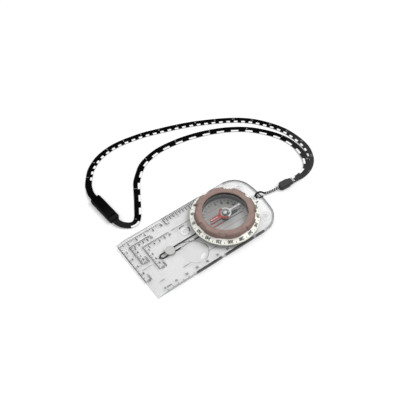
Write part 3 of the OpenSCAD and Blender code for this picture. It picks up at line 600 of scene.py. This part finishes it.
# ---------------------------------------------------------------- helpers for meshes


def piece(name, verts, faces, finish, body, slot, smooth=False):
    """A mesh piece from points in millimetres, riding on a body."""
    mesh = bpy.data.meshes.new(name)
    mesh.from_pydata([tuple(Vector(v) * MM) for v in verts], [], faces)
    for one in (finish if isinstance(finish, (list, tuple)) else [finish]):
        mesh.materials.append(one)
    mesh.update()
    made = bpy.data.objects.new(name, mesh)
    bpy.context.collection.objects.link(made)
    for face in mesh.polygons:
        face.use_smooth = smooth
    if body:
        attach(made, body)
    return made


def outward(made):
    """Turns a closed mesh's faces outwards."""
    work = bmesh.new()
    work.from_mesh(made.data)
    bmesh.ops.recalc_face_normals(work, faces=work.faces)
    work.to_mesh(made.data)
    work.free()
    return made


def rounded(points, radii, steps):
    """The outline through points with each corner rounded by its radius, in that many steps."""
    result = []
    count = len(points)
    for i, (point, radius) in enumerate(zip(points, radii)):
        here = Vector(point)
        before, after = Vector(points[i - 1]) - here, Vector(points[(i + 1) % count]) - here
        if radius <= 0:
            result.append(here)
            continue
        half = before.angle(after) / 2
        reach = min(radius / math.tan(half), 0.49 * before.length, 0.49 * after.length)
        radius = reach * math.tan(half)
        start, end = here + before.normalized() * reach, here + after.normalized() * reach
        middle = here + (before.normalized() + after.normalized()).normalized() * (radius / math.sin(half))
        first, last = start - middle, end - middle
        turn = math.atan2(first.x * last.y - first.y * last.x, first.dot(last))
        for k in range(steps + 1):
            result.append(middle + Matrix.Rotation(turn * k / steps, 2) @ first)
    return result


def along(route):
    """Length along a route at each of its points."""
    lengths = [0.0]
    for p, q in zip(route, route[1:]):
        lengths.append(lengths[-1] + (q - p).length)
    return lengths


def smooth_route(points, step=1.2):
    """Even points along a smooth curve through a route's points."""
    route = [Vector(p) for p in points]
    parts = 12
    fine = []
    for i in range(len(route) - 1):
        a, b = route[max(i - 1, 0)], route[i]
        c, d = route[i + 1], route[min(i + 2, len(route) - 1)]
        for k in range(parts):
            t = k / parts
            fine.append(0.5 * ((2 * b) + (c - a) * t + (2 * a - 5 * b + 4 * c - d) * t * t
                               + (3 * b - a - 3 * c + d) * t ** 3))
    fine.append(route[-1])
    lengths = along(fine)
    count = max(2, round(lengths[-1] / step))
    result, k = [], 0
    for i in range(count + 1):
        want = lengths[-1] * i / count
        while k < len(lengths) - 2 and lengths[k + 1] < want:
            k += 1
        share = (want - lengths[k]) / max(1e-9, lengths[k + 1] - lengths[k])
        result.append(fine[k].lerp(fine[k + 1], min(1, max(0, share))))
    return result


def directions(route, ref=UP):
    """Heading, across and up at each point of a route."""
    result = []
    for i in range(len(route)):
        heading = (route[min(i + 1, len(route) - 1)] - route[max(i - 1, 0)]).normalized()
        flat = (ref - heading * ref.dot(heading)).normalized()
        result.append((heading, heading.cross(flat), flat))
    return result


def tube(route, sections, ref=UP):
    """Points and faces of a closed tube; sections[i] is the list of (across, up) points at route[i]."""
    verts, faces = [], []
    n = len(sections[0])
    for point, (_, across, flat), section in zip(route, directions(route, ref), sections):
        verts += [point + a * across + b * flat for a, b in section]
    for i in range(len(route) - 1):
        for k in range(n):
            a, b = i * n + k, i * n + (k + 1) % n
            faces.append((a, b, b + n, a + n))
    faces.append(tuple(reversed(range(n))))
    faces.append(tuple((len(route) - 1) * n + k for k in range(n)))
    return verts, faces


def joined(shapes):
    """Several (points, faces) as one."""
    verts, faces = [], []
    for v, f in shapes:
        start = len(verts)
        verts += list(v)
        faces += [tuple(i + start for i in face) for face in f]
    return verts, faces


def moved(shape, matrix):
    """The shape with its points moved by a matrix."""
    return [matrix @ Vector(v) for v in shape[0]], shape[1]


def bar(x0, y0, x1, y1, width):
    """A thin printed line from one point to another."""
    a, b = Vector((x0, y0, 0)), Vector((x1, y1, 0))
    side = UP.cross(b - a).normalized() * width / 2
    flat = [a - side, b - side, b + side, a + side]
    verts = flat + [p + UP * INK for p in flat]
    return verts, [(3, 2, 1, 0), (4, 5, 6, 7), (0, 1, 5, 4), (1, 2, 6, 5), (2, 3, 7, 6), (3, 0, 4, 7)]


CAPITAL = 0.72      # height of a capital letter in a font of size 1


def glyphs(text, height, narrow=1.0, bold=0.0):
    """Points and faces of lettering centred on the origin, its capitals that high."""
    data = bpy.data.curves.new("lettering", "FONT")
    data.body = text
    data.align_x, data.align_y = "CENTER", "CENTER"
    data.size = 1.0
    data.resolution_u = 3
    data.offset = bold
    scale = height / CAPITAL
    data.extrude = INK / 2 / scale
    holder = bpy.data.objects.new("lettering", data)
    bpy.context.collection.objects.link(holder)
    bpy.context.view_layer.update()
    mesh = bpy.data.meshes.new_from_object(holder.evaluated_get(bpy.context.evaluated_depsgraph_get()))
    xs, ys = [v.co.x for v in mesh.vertices], [v.co.y for v in mesh.vertices]
    middle = Vector(((max(xs) + min(xs)) / 2, (max(ys) + min(ys)) / 2, 0))
    verts = [(v.co - middle) * scale for v in mesh.vertices]
    verts = [Vector((v.x * narrow, v.y, v.z + INK / 2)) for v in verts]
    faces = [tuple(p.vertices) for p in mesh.polygons]
    bpy.data.objects.remove(holder)
    bpy.data.curves.remove(data)
    bpy.data.meshes.remove(mesh)
    return verts, faces


def lettering(text, x, y, height, turn=0.0, narrow=1.0, bold=0.0):
    """Lettering centred on a place and turned by that many degrees."""
    return moved(glyphs(text, height, narrow, bold),
                 Matrix.Translation((x, y, 0)) @ Matrix.Rotation(math.radians(turn), 4, "Z"))


def prints(name, shapes, z, finish, body, slot):
    """Printed marks as one piece, that far above where their shapes lie."""
    verts, faces = joined(shapes)
    piece(name, [Vector(v) + UP * z for v in verts], faces, finish, body, slot)


def softened(node, width, segments, body, limit=25, merge=1):
    """A copy of a hard solid with its edges rounded, in place of the solid; angles are in degrees."""
    mesh = nodes[node].data.copy()
    work = bmesh.new()
    work.from_mesh(mesh)
    bmesh.ops.remove_doubles(work, verts=work.verts, dist=0.002 * MM)
    bmesh.ops.dissolve_limit(work, angle_limit=math.radians(merge), verts=work.verts, edges=work.edges)
    work.to_mesh(mesh)
    work.free()
    made = bpy.data.objects.new(node + "_moulding", mesh)
    bpy.context.collection.objects.link(made)
    bevel = made.modifiers.new("edges", "BEVEL")
    bevel.width = width * MM
    bevel.segments = segments
    bevel.limit_method = "ANGLE"
    bevel.angle_limit = math.radians(limit)
    bevel.miter_outer = "MITER_ARC"
    final = bpy.data.meshes.new_from_object(made.evaluated_get(bpy.context.evaluated_depsgraph_get()))
    made.modifiers.clear()
    made.data = final
    final.materials.clear()
    final.materials.append(CAD_FINISHES[node])
    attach(made, body)
    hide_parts(node)
    return made


# ---------------------------------------------------------------- lanyard


def strap_section(width):
    """Section of the ribbon, from its plain edge round over the top; the last four points lie underneath."""
    w, t, e = width / 2, STRAP_T / 2, STRAP_ROUND
    return [(w, t - e), (w - e * 0.3, t - e * 0.3), (w - e, t), (e - w, t), (e * 0.3 - w, t - e * 0.3),
            (-w, t - e), (-w, e - t), (e - w, -t), (w - e, -t), (w, e - t)]


# Distance across the ribbon at each point of its section, going on over its two edges
HALF_W = STRAP_W / 2
STRAP_ACROSS = [HALF_W + 0.3, HALF_W, HALF_W - 0.3, 0.3 - HALF_W, -HALF_W, -HALF_W - 0.3, -HALF_W - 0.6,
                -HALF_W - 1, HALF_W + 1.2, HALF_W + 0.8]


def strap(name, points, finish):
    """A ribbon with a map of the length along it and the distance across it, and its route."""
    route = smooth_route(points)
    lengths = along(route)
    pinched_from = lengths[-1] - STRAP_PINCH
    sections = []
    for length in lengths:
        pinch = min(1, max(0, (length - pinched_from) / STRAP_TAPER))
        sections.append(strap_section(STRAP_W + pinch * (STRAP_END_W - STRAP_W)))
    made = piece(name, *tube(route, sections), finish, None, "ribbon_black", smooth=True)
    layer = made.data.uv_layers.new(name="strap")
    n = len(STRAP_ACROSS)
    for loop in made.data.loops:
        layer.data[loop.index].uv = (lengths[loop.vertex_index // n], STRAP_ACROSS[loop.vertex_index % n])
    made.data.set_sharp_from_angle(angle=math.radians(50))
    outward(made)
    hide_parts(name)
    return made, route


# Black ribbon, painted greyer near the cord end and at the inner strap's turn as a painted sheen
OUTER_WEB = strap_web("printed_ribbon_outer", [(0, "#060606"), (215, "#060606"), (232, "#262626"),
                                               (301, "#464646")], 22.1, 3.3, 6.84, 288)
INNER_WEB = strap_web("printed_ribbon_inner", [(0, "#222222"), (14, "#222222"), (22, "#060606"),
                                               (220, "#060606"), (238, "#262626"), (282, "#3E3E3E")],
                      14.6, 6.7, 13.18, 281.5)
outer, outer_route = strap("strap_outer", OUTER_ROUTE, OUTER_WEB)
inner, inner_route = strap("strap_inner", INNER_ROUTE, INNER_WEB)
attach(outer, "base")
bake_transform(inner)


def string_piece():
    """Two twisted plies with light yarns as painted highlights from the cord end, then one strand through the
    hole.
    """
    sideways = Vector((1, 0, 0))
    circle = [(math.cos(2 * math.pi * k / 10), math.sin(2 * math.pi * k / 10)) for k in range(10)]
    tail = smooth_route(STRING_ROUTE[:STRING_TAIL_POINTS], STRING_STEP)
    steer = directions(tail, sideways)
    shapes, marks = [], []
    for start, offset, radius, mark in STRING_PLIES:
        route = []
        for point, length, (_, across, flat) in zip(tail, along(tail), steer):
            turn = 2 * math.pi * (length / STRING_PITCH + start)
            route.append(point + offset * (math.cos(turn) * across + math.sin(turn) * flat))
        shapes.append(tube(route, [[(radius * a, radius * b) for a, b in circle]] * len(route), sideways))
        marks += [mark] * len(shapes[-1][1])
    loop = smooth_route(STRING_ROUTE[STRING_TAIL_POINTS - 1:], STRING_STEP)
    radii = [min(0.78, max(0.6, spot.z)) for spot in loop]
    shapes.append(tube(loop, [[(r * a, r * b) for a, b in circle] for r in radii], sideways))
    marks += [0] * len(shapes[-1][1])
    finishes = [twine("black_twine_ply", "#101010"), twine("painted_highlight_yarn", "#F2F2F2")]
    made = piece("lanyard_string", *joined(shapes), finishes, "base", "cord_black", smooth=True)
    for face, mark in zip(made.data.polygons, marks):
        face.material_index = mark
    outward(made)
    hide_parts("lanyard_string")
    return made, tail + loop[1:]


string, string_route = string_piece()
cord_end = softened("cord_end", 0.45, 4, "base")
socket = softened("buckle_socket", 0.3, 3, "base")
plug = softened("buckle_plug", 0.3, 3, "plug")


def on_strap(shape, route, length, aside=0.0):
    """A mark laid on a strap at a length along it, that far aside from its middle line."""
    lengths = along(route)
    i = min(range(len(lengths)), key=lambda k: abs(lengths[k] - length))
    heading, across, flat = directions(route)[i]
    turn = Matrix((-heading, -across, flat)).transposed().to_4x4()
    spot = route[i] + flat * (STRAP_T / 2 - 0.01) - across * aside
    return moved(shape, Matrix.Translation(spot) @ turn)


def mile_numbers(name, route, first, pitch, count):
    """Small numbers printed along a strap, near its plain edge."""
    numbers = [on_strap(glyphs(str(k + 1), 2.1, 0.9), route, first + k * pitch, 1.2) for k in range(count)]
    prints(name, numbers, 0, STRAP_INK, "base", "ribbon_black")


mile_numbers("outer_mile_numbers", outer_route, 25.6, 17.0, 16)
mile_numbers("inner_mile_numbers", inner_route, 22.8, 32.8, 8)
end_line = bar(0, -2.1, 0, 2.1, 0.5)
prints("strap_end_lines", [on_strap(end_line, inner_route, along(inner_route)[-1] - before_end)
                           for before_end in (0.6, 2.4)], 0, WHITE_INK, "base", "ribbon_black")

# ---------------------------------------------------------------- plate


def near(spot, place, reach):
    """Whether a point stands within that distance of a place, seen from above."""
    return math.hypot(spot.x - place[0], spot.y - place[1]) < reach


def polished_plate():
    """The plate with a fine polished chamfer, its walls in the edge's material of painted reflections and
    shade.
    """
    made = softened("baseplate", 0.16, 2, "base", 40, 0.05)
    mesh = made.data
    if "custom_normal" in mesh.attributes:
        mesh.attributes.remove(mesh.attributes["custom_normal"])
    mesh.materials.append(ACRYLIC_EDGE)
    mesh.materials.append(SILICONE)
    edge, feet_walls = 1, 2
    rear_end, rim, level = 14, 0.35, 0.9
    for face in mesh.polygons:
        spot = face.center / MM
        on_side = abs(spot.x) > PLATE_W / 2 - rim
        on_rim = on_side or spot.y < PLATE_LOW.y + rear_end or spot.y > PLATE_HIGH.y - rim
        in_opening = near(spot, DIAL, CAPSULE_R + 4) or near(spot, LANYARD_HOLE, 3)
        if abs(face.normal.z) < level and on_rim and not in_opening:
            face.material_index = edge
        if any(near(spot, foot, 3) for foot in FEET) and spot.z < PLATE_TOP - 0.5:
            face.material_index = feet_walls
        face.use_smooth = near(spot, LENS, LENS_R + 0.3) and face.normal.z > level


polished_plate()

# ---------------------------------------------------------------- marks on the plate

WEST = -90      # turn of letters that read along the plate, in degrees


def under_plate(name, shapes, finish):
    """Marks printed on the plate's underside."""
    prints(name, shapes, PLATE_UNDER - INK, finish, "base", "clear_acrylic")


def romer(corner_x, corner_y, reach, gap, width, x_room, y_room):
    """A grid reader: two arms from a corner, four fine ticks to each even number up to ten along both."""
    shapes = [bar(corner_x + width / 2, corner_y, corner_x - reach, corner_y, width),
              bar(corner_x, corner_y, corner_x, corner_y - reach, 0.3)]
    for k in range(1, round(4 * reach / gap) + 1):
        size, far = 0.9 + 0.8 * (k % 2 == 0), k * gap / 4
        shapes.append(bar(corner_x - far, corner_y, corner_x - far, corner_y - size, 0.4))
        shapes.append(bar(corner_x, corner_y - far, corner_x - size, corner_y - far, 0.4))
    for k in range(1, 6):
        for x, y in ((corner_x - k * gap, corner_y - y_room), (corner_x - x_room, corner_y - k * gap)):
            shapes.append(lettering(str(2 * k), x, y, 2.1, WEST, 0.85, 0.03))
    return shapes


romers = [romer(27.6, 62.1, 40, 8, 0.7, 2.6, 3.2), romer(22.4, 55.2, 20, 4, 0.36, 2.7, 3.1),
          romer(16.2, 46.6, 25, 5, 0.4, 2.8, 3.2)]
under_plate("romer_prints", sum(romers, []), BLACK_INK)
scale_words = [lettering(words, x, y, 1.7, 180, 0.86, 0.02) for words, x, y in (
    ("1:25000", -10.1, 56.8), ("1:50000", 4.6, 49.6), ("1:40000", -6.7, 40.7))]
under_plate("scale_prints", scale_words, BOLD_INK)

# Lines that stay parallel to the long edges; the left one is broken where a name would stand
under_plate("meridian_prints", [bar(-18.7, 53.0, -18.6, 48.4, 0.36), bar(-18.6, 30.6, -18.5, 24.6, 0.36),
                                bar(-18, 6, -18.1, -6, 0.36), bar(16.0, 18.6, 15.8, -1, 0.36)], BLACK_INK)
under_plate("thin_prints", [bar(-1.9, 58.2, -2, 49, 0.3)], GREY_INK_AND_GLINT_PAINT)


def begun_tree(name, **sockets):
    """A Geometry Nodes tree with those inputs, each a name and a kind, and the sockets that give them."""
    tree = bpy.data.node_groups.new(name, "GeometryNodeTree")
    for label, kind in {**sockets, "Size": "Vector", "Finish": "Material"}.items():
        tree.interface.new_socket(label, in_out="INPUT", socket_type="NodeSocket" + kind)
    tree.interface.new_socket("Ticks", in_out="OUTPUT", socket_type="NodeSocketGeometry")
    return tree, add(tree, "NodeGroupInput").outputs


def ended_tree(tree, given, **places):
    """The tree with its end: a tick of the given size at each place, made real and inked."""
    tick = add(tree, "GeometryNodeMeshCube", {"Size": given["Size"]})
    placed = add(tree, "GeometryNodeInstanceOnPoints", {"Instance": tick, **places})
    real = add(tree, "GeometryNodeRealizeInstances", {"Geometry": placed})
    inked = add(tree, "GeometryNodeSetMaterial", {"Geometry": real, "Material": given["Finish"]})
    add(tree, "NodeGroupOutput", {0: inked})
    return tree


def tick_row():
    """Geometry Nodes: a straight row of equal printed ticks."""
    tree, given = begun_tree("tick_row", Count="Int", Start="Vector", Step="Vector")
    line = add(tree, "GeometryNodeMeshLine", {"Count": given["Count"], "Start Location": given["Start"],
                                              "Offset": given["Step"]})
    return ended_tree(tree, given, Points=line)


def tick_ring():
    """Geometry Nodes: equal printed ticks round an axis, each leaning with the slope it is printed on."""
    tree, given = begun_tree("tick_ring", Count="Int", Radius="Float", Centre="Vector", Lean="Float",
                             First="Float", Step="Float")
    dots = add(tree, "GeometryNodeMeshLine", {"Count": given["Count"], "Offset": (0, 0, 0)})
    index = add(tree, "GeometryNodeInputIndex")
    angle = add(tree, "ShaderNodeMath", {0: index, 1: given["Step"], 2: given["First"]},
                operation="MULTIPLY_ADD")
    cos, sin = (add(tree, "ShaderNodeMath", {0: angle}, operation=wave) for wave in ("COSINE", "SINE"))
    unit = add(tree, "ShaderNodeCombineXYZ", {"X": cos, "Y": sin})
    spoke = add(tree, "ShaderNodeVectorMath", {0: unit, "Scale": given["Radius"]}, operation="SCALE")
    spot = add(tree, "ShaderNodeVectorMath", {0: spoke, 1: given["Centre"]}, operation="ADD")
    points = add(tree, "GeometryNodeSetPosition", {"Geometry": dots, "Position": spot})
    turn = add(tree, "ShaderNodeCombineXYZ", {"Y": given["Lean"], "Z": angle})
    return ended_tree(tree, given, Points=points, Rotation=turn)


TICK_ROW, TICK_RING = tick_row(), tick_ring()


def repeated(name, tree, body, slot, **inputs):
    """A plain mesh made by a Geometry Nodes tree with those inputs."""
    made = bpy.data.objects.new(name, bpy.data.meshes.new(name))
    bpy.context.collection.objects.link(made)
    modifier = made.modifiers.new("maker", "NODES")
    modifier.node_group = tree
    sockets = {item.name: item.identifier for item in tree.interface.items_tree if item.in_out == "INPUT"}
    for key, value in inputs.items():
        modifier[sockets[key]] = value
    made.update_tag()
    bpy.context.view_layer.update()
    final = bpy.data.meshes.new_from_object(made.evaluated_get(bpy.context.evaluated_depsgraph_get()))
    made.modifiers.clear()
    made.data = final
    if not final.materials:
        final.materials.append(inputs["Finish"])
    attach(made, body)


def tick_scale(name, count, start, step, size, finish):
    """Ticks along the plate, a step apart; start and size are in millimetres."""
    repeated(name, TICK_ROW, "base", "clear_acrylic", Count=count, Start=tuple(v * MM for v in start),
             Step=(0.0, step * MM, 0.0), Size=tuple(v * MM for v in size), Finish=finish)


# Heights of the ticks' layers under the plate
FIRST_LAYER, SECOND_LAYER, THIRD_LAYER = (PLATE_UNDER - INK * share for share in (0.5, 1.5, 2.5))

# Millimetre ruler under the plate, along its left edge
RULER_ZERO, RULER_X = 52.0, -28.4
tick_scale("ruler_ticks", 66, (RULER_X - 0.5, RULER_ZERO, FIRST_LAYER), -1, (1.1, 0.4, INK), SCALE_INK)
tick_scale("ruler_five_ticks", 14, (RULER_X, RULER_ZERO, SECOND_LAYER), -5, (2.1, 0.45, INK), BLACK_INK)
ruler_words = [lettering("0 mm", -25.5, RULER_ZERO - 1.8, 1.9, WEST, 1.1, 0.02)]
for far in range(10, 70, 10):
    ruler_words.append(lettering(str(far), -25.1, RULER_ZERO - far, 2.0, WEST, 0.85, 0.02))
under_plate("ruler_prints", ruler_words, BLACK_INK)

# Inch scale under the plate, along its right edge, in sixteenths
INCH = 25.4
SIXTEENTH = INCH / 16
SCALE_ZERO, SCALE_END = 18.13, PLATE_W / 2 - 0.3
for name, count, inset, layer, step, size in (
        ("edge_scale_ticks", 30, 0.95, FIRST_LAYER, SIXTEENTH, (1.9, 0.6, INK)),
        ("edge_scale_long_ticks", 15, 2.0, SECOND_LAYER, 2 * SIXTEENTH, (4.0, 0.7, INK)),
        ("edge_scale_inch_ticks", 2, 2.7, THIRD_LAYER, INCH, (5.4, 0.7, INK))):
    tick_scale(name, count, (SCALE_END - inset, SCALE_ZERO, layer), -step, size, BLACK_INK)
# The ticks again, a painted reflection of them in the plate's polished edge
tick_scale("edge_scale_mirrored_ticks", 30, (PLATE_W / 2 - 0.06, SCALE_ZERO, (PLATE_UNDER + PLATE_TOP) / 2),
           -SIXTEENTH, (INK, 0.65, PLATE_TOP - PLATE_UNDER - 0.3), SCALE_INK)
under_plate("edge_scale_numbers", [lettering("0 in", 23.4, SCALE_ZERO - 1.4, 1.7, WEST, 0.9, 0.02),
                                   lettering("1/2", 24.4, SCALE_ZERO - INCH / 2, 1.4, WEST, 0.9),
                                   lettering("1", 23.7, SCALE_ZERO - INCH, 1.9, WEST, 0.9)], BLACK_INK)

# Direction arrow: two lines from the dial, broken by the disc and the lens, and a blunt point
ARROW_X, ARROW_HALF, ARROW_W = -0.4, 2.0, 1.3
ARROW_LEFT, ARROW_RIGHT = ARROW_X - ARROW_HALF, ARROW_X + ARROW_HALF
arrow = [bar(ARROW_RIGHT, 3.4, ARROW_RIGHT, 26.9, ARROW_W), bar(ARROW_LEFT, 21.5, ARROW_LEFT, 26.9, ARROW_W),
         bar(ARROW_LEFT, 3.4, ARROW_LEFT, 8, ARROW_W), bar(ARROW_LEFT + 0.2, 8, ARROW_LEFT + 0.2, 21.5, 0.35)]
for side in (-1, 1):
    line_x, barb_x = ARROW_X + side * ARROW_HALF, ARROW_X + side * (ARROW_HALF + 0.25)
    arrow += [bar(line_x, 33.8, line_x, 38.6, ARROW_W),
              bar(barb_x, 38.2, ARROW_X - side * 0.3, 41.2, ARROW_W)]


def arc(x, y, radius, first, last, width):
    """A curved stroke drawn as a mark, its ends given as angles in degrees; it draws the painted glints."""
    steps = max(4, round(abs(last - first) / 6))
    angles = [math.radians(first + (last - first) * k / steps) for k in range(steps + 1)]
    spots = [(x + radius * math.cos(angle), y + radius * math.sin(angle)) for angle in angles]
    return joined([bar(*p, *q, width) for p, q in zip(spots, spots[1:])])


# Painted glints, dark reflections drawn as marks on the plate's face: round the lens's step, about the middle
# of its rim, and beside the front foot
RIM = (-13.2, 15.1)
for name, finish, glints in (
        ("dark_glints", DARK_GLINT_PAINT, [
            bar(1.6, 20.9, -0.9, 17.2, 0.45), bar(-0.9, 17.2, -1.8, 13.4, 0.4),
            arc(*FOOT, 4.5, 42, -30, 0.85), arc(*FOOT, 4.2, -72, -140, 1.05),
            arc(*RIM, 10.9, -78, -108, 0.6)]),
        ("faint_glints", GREY_INK_AND_GLINT_PAINT, [
            arc(*RIM, 11.1, -9, -76, 0.45), arc(*RIM, 10.8, -110, -172, 0.5),
            arc(*RIM, 10.7, 172, 116, 0.3)])):
    prints(name, glints, PLATE_TOP + 0.01, finish, "base", "clear_acrylic")
under_plate("arrow_print", arrow, BOLD_INK)
under_plate("index_print", [bar(-2.8, -55.0, -2.8, -57.2, 1.0),
                            lettering("o", -1.1, 12.7, 1.8, WEST, 1, 0.03)], BLACK_INK)

# ---------------------------------------------------------------- dial

SLOPE_LOW = (RING_R - 0.15, 5.9)     # graduated slope of the ring: radius and height of its two ends
SLOPE_HIGH = (CAPSULE_R + 3.3, 8.1)
SLOPE_LEAN = math.atan2(SLOPE_HIGH[1] - SLOPE_LOW[1], SLOPE_LOW[0] - SLOPE_HIGH[0])
DIAL_TURN = 2.1                      # the scale stands two degrees off the direction arrow
ON_DIAL = Matrix.Translation(DIAL)


def slope_height(radius):
    """Height of the ring's slope at a radius."""
    return SLOPE_LOW[1] + (SLOPE_LOW[0] - radius) * math.tan(SLOPE_LEAN)


def on_slope(radius, clockwise):
    """Matrix that lays a mark on the slope, its top outwards, at an angle clockwise from the front."""
    place = ON_DIAL @ Matrix.Rotation(math.radians(-clockwise), 4, "Z")
    place = place @ Matrix.Translation((0, radius, slope_height(radius)))
    return place @ Matrix.Rotation(-SLOPE_LEAN, 4, "X")


ring_numbers = []
for degrees in range(0, 360, 20):
    number = glyphs(str(degrees or 360), 2.6, 0.82, 0.045)
    ring_numbers.append(moved(number, on_slope(27.0, degrees - DIAL_TURN)))
prints("degree_numbers", ring_numbers, 0.0, DIAL_INK, "dial", "dial_cream")

# A tick midway between each two numbers
TICK_COUNT, TICK_RADIUS, TICK_SIZE = 18, 27.7, (1.3, 0.42, INK)
repeated("degree_ticks_ten", TICK_RING, "dial", "dial_cream", Count=TICK_COUNT, Radius=TICK_RADIUS * MM,
         Centre=(0.0, DIAL.y * MM, (slope_height(TICK_RADIUS) + INK / 2) * MM), Lean=SLOPE_LEAN,
         First=math.radians(10 + 90 + DIAL_TURN), Step=2 * math.pi / TICK_COUNT,
         Size=tuple(v * MM for v in TICK_SIZE), Finish=DIAL_INK)


def turned(name, profiles, finish, slot, body="dial"):
    """A closed profile of radius and height for each step round the dial's axis, joined to one ring."""
    count, n = len(profiles), len(profiles[0])
    verts = []
    for i, profile in enumerate(profiles):
        angle = 2 * math.pi * i / count
        verts += [DIAL + Vector((r * math.cos(angle), r * math.sin(angle), z)) for r, z in profile]
    faces = []
    for i in range(count):
        here, after = i * n, (i + 1) % count * n
        faces += [(here + k, here + (k + 1) % n, after + (k + 1) % n, after + k) for k in range(n)]
    return outward(piece(name, verts, faces, finish, body, slot, smooth=True))


GRIP_PADS, GRIP_GAP, GRIP_REST = 8, 18, 2       # number of pads, and a gap's width and turn in degrees


def grip_piece():
    """The soft grip: a rounded ring with pads, and a scooped gap between each two."""
    bore, window, seat = CAPSULE_R + 2.45, CAPSULE_R - 2.5, CAPSULE_R + 0.05
    lip_z, wall_z, middle_z = COVER_UNDER + 1.05, 10.25, GRIP_LOW_Z + 1.75

    def outline(low_r, wide_r, slope_r, slope_z, top_r, radii):
        points = [(bore, GRIP_LOW_Z), (low_r, GRIP_LOW_Z), (wide_r, middle_z), (slope_r, slope_z),
                  (top_r, GRIP_TOP_Z), (window, GRIP_TOP_Z), (window, lip_z), (seat, lip_z), (seat, wall_z),
                  (bore, wall_z)]
        return rounded(points, radii, 6)

    pad = outline(CAPSULE_R + 3.6, GRIP_R, CAPSULE_R + 3.3, 12.0, CAPSULE_R + 2.4,
                  [0, .35, .7, .6, .6, .35, 0, 0, 0, 0])
    gap = outline(CAPSULE_R + 3.1, GRIP_R - 1.2, CAPSULE_R + 1.5, 11.7, CAPSULE_R + 0.8,
                  [0, .3, .5, .4, .25, .35, 0, 0, 0, 0])
    step, count = 360 / GRIP_PADS, 720
    profiles = []
    for i in range(count):
        phase = (360 * i / count - GRIP_REST) % step
        share = min(1, max(0, (GRIP_GAP / 2 - min(phase, step - phase) + 0.4) / 1.2))
        share = share * share * (3 - 2 * share)
        profiles.append([p.lerp(q, share) for p, q in zip(pad, gap)])
    made = turned("grip_ring", profiles, CAD_FINISHES["bezel_grip"], "grip_mauve")
    made.data.set_sharp_from_angle(angle=math.radians(40))
    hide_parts("bezel_grip")


grip_piece()


def revolved(name, profile, finish, slot, body="dial", count=180):
    """One closed profile of radius and height turned about the dial's axis."""
    made = turned(name, [profile] * count, finish, slot, body)
    made.data.set_sharp_from_angle(angle=math.radians(30))


WALL_IN = CAPSULE_R - 0.82
# A liner inside the capsule's wall, in painted shade
revolved("capsule_shade", [(WALL_IN - 0.02, ORIENT_TOP + 0.02), (WALL_IN - 0.02, COVER_UNDER - 0.02),
                           (WALL_IN - 0.2, COVER_UNDER - 0.02), (WALL_IN - 0.3, ORIENT_TOP + 4.6),
                           (WALL_IN - 1.0, ORIENT_TOP + 4.1), (WALL_IN - 1.15, ORIENT_TOP + 0.02)],
         liner_plastic(), "seal_rubber")

# Marks on the film: an orienting arrow of two lines, red to the north and green to the south, and meridians
FILM_X, FILM_TURN = -1.2, -1.5
ON_FILM = ON_DIAL @ Matrix.Rotation(math.radians(FILM_TURN), 4, "Z") @ Matrix.Translation((FILM_X, 0, 0))
for name, finish, lines in (
        ("orienting_red", RED_INK, [(1.8, 2.6, 1.8, 13.9, 1.05), (-1.8, 2.2, -1.8, 12.9, 1.05),
                                    (1.8, -16.2, 1.8, -12.8, 0.75), (-1.8, -16.2, -1.8, -12.8, 0.75)]),
        ("orienting_green", GREEN_INK, [(1.8, -12.8, 1.8, 2.6, 0.7), (-1.8, -12.8, -1.8, 2.2, 0.7)]),
        ("orienting_meridians", FADED_INK, [(12.9, -13, 12.9, 14, 0.3), (-7.5, -17, -7.5, 16, 0.3),
                                            (6.6, -17, 6.6, 17, 0.3)])):
    prints(name, [moved(bar(*line), ON_FILM) for line in lines], ORIENT_TOP, finish, "dial", "orienting_film")

# Clinometer scale: a tick every ten degrees and a number every twenty on one side
CLINOMETER_R = 18.2
clinometer = []
for step in range(-9, 10):
    degrees = -6 - 10 * step
    x, y = math.cos(math.radians(degrees)), math.sin(math.radians(degrees))
    foot = CLINOMETER_R - (1.7 if step % 2 == 0 else 1.1)
    clinometer.append(bar(x * CLINOMETER_R, y * CLINOMETER_R, x * foot, y * foot, 0.5))
    if step in (0, 2, 4, 6):
        base = CLINOMETER_R - 3.1
        clinometer.append(lettering(str(10 * step), x * base, y * base, 2.0, degrees - 90, 0.85, 0.05))
prints("clinometer_prints", [moved(mark, ON_DIAL) for mark in clinometer], ORIENT_TOP, SCALE_INK, "dial",
       "orienting_film")

# ---------------------------------------------------------------- needle


def rounded_bar(y, length, width):
    """A short printed dash with round ends, along the needle."""
    flat = []
    for end in (1, -1):
        for k in range(9):
            angle = math.pi * k / 8
            flat.append(Vector((width / 2 * end * math.cos(angle),
                                y + end * ((length - width) / 2 + width / 2 * math.sin(angle)), 0)))
    n = len(flat)
    faces = [tuple(reversed(range(n))), tuple(range(n, 2 * n))]
    faces += [(k, (k + 1) % n, (k + 1) % n + n, k + n) for k in range(n)]
    return flat + [v + UP * INK for v in flat], faces


prints("needle_luminous_dashes", [moved(rounded_bar(y, 1.9, 0.7), ON_DIAL) for y in (8.6, 11.0, 13.4)],
       NEEDLE_TOP, PINK_INK, "needle", "needle_red")
prints("needle_south_dashes", [moved(bar(-0.8, y, 0.8, y, 0.45), ON_DIAL)
                               for y in (-6.9, -8.1, -9.3, -10.5, -11.7, -12.9)],
       NEEDLE_TOP, RUNG_INK, "needle", "needle_white")

# The cap's pressed boss, bright on top as a painted highlight, and the dark rolled rim round the jewel
for name, finish, count, profile in (
        ("cap_boss", HIGHLIGHT_ALUMINIUM, 48, [(0.05, -0.02), (0.9, -0.02), (0.85, 0.08), (0.4, 0.14), (0.05, 0.15)]),
        ("cap_rim", COBALT_STEEL, 64, [(1.75, -0.02), (2.25, -0.02), (2.25, 0.05), (1.75, 0.05)])):
    revolved(name, [(r, CAP_TOP + z) for r, z in profile], finish, "cap_aluminium", "needle", count)
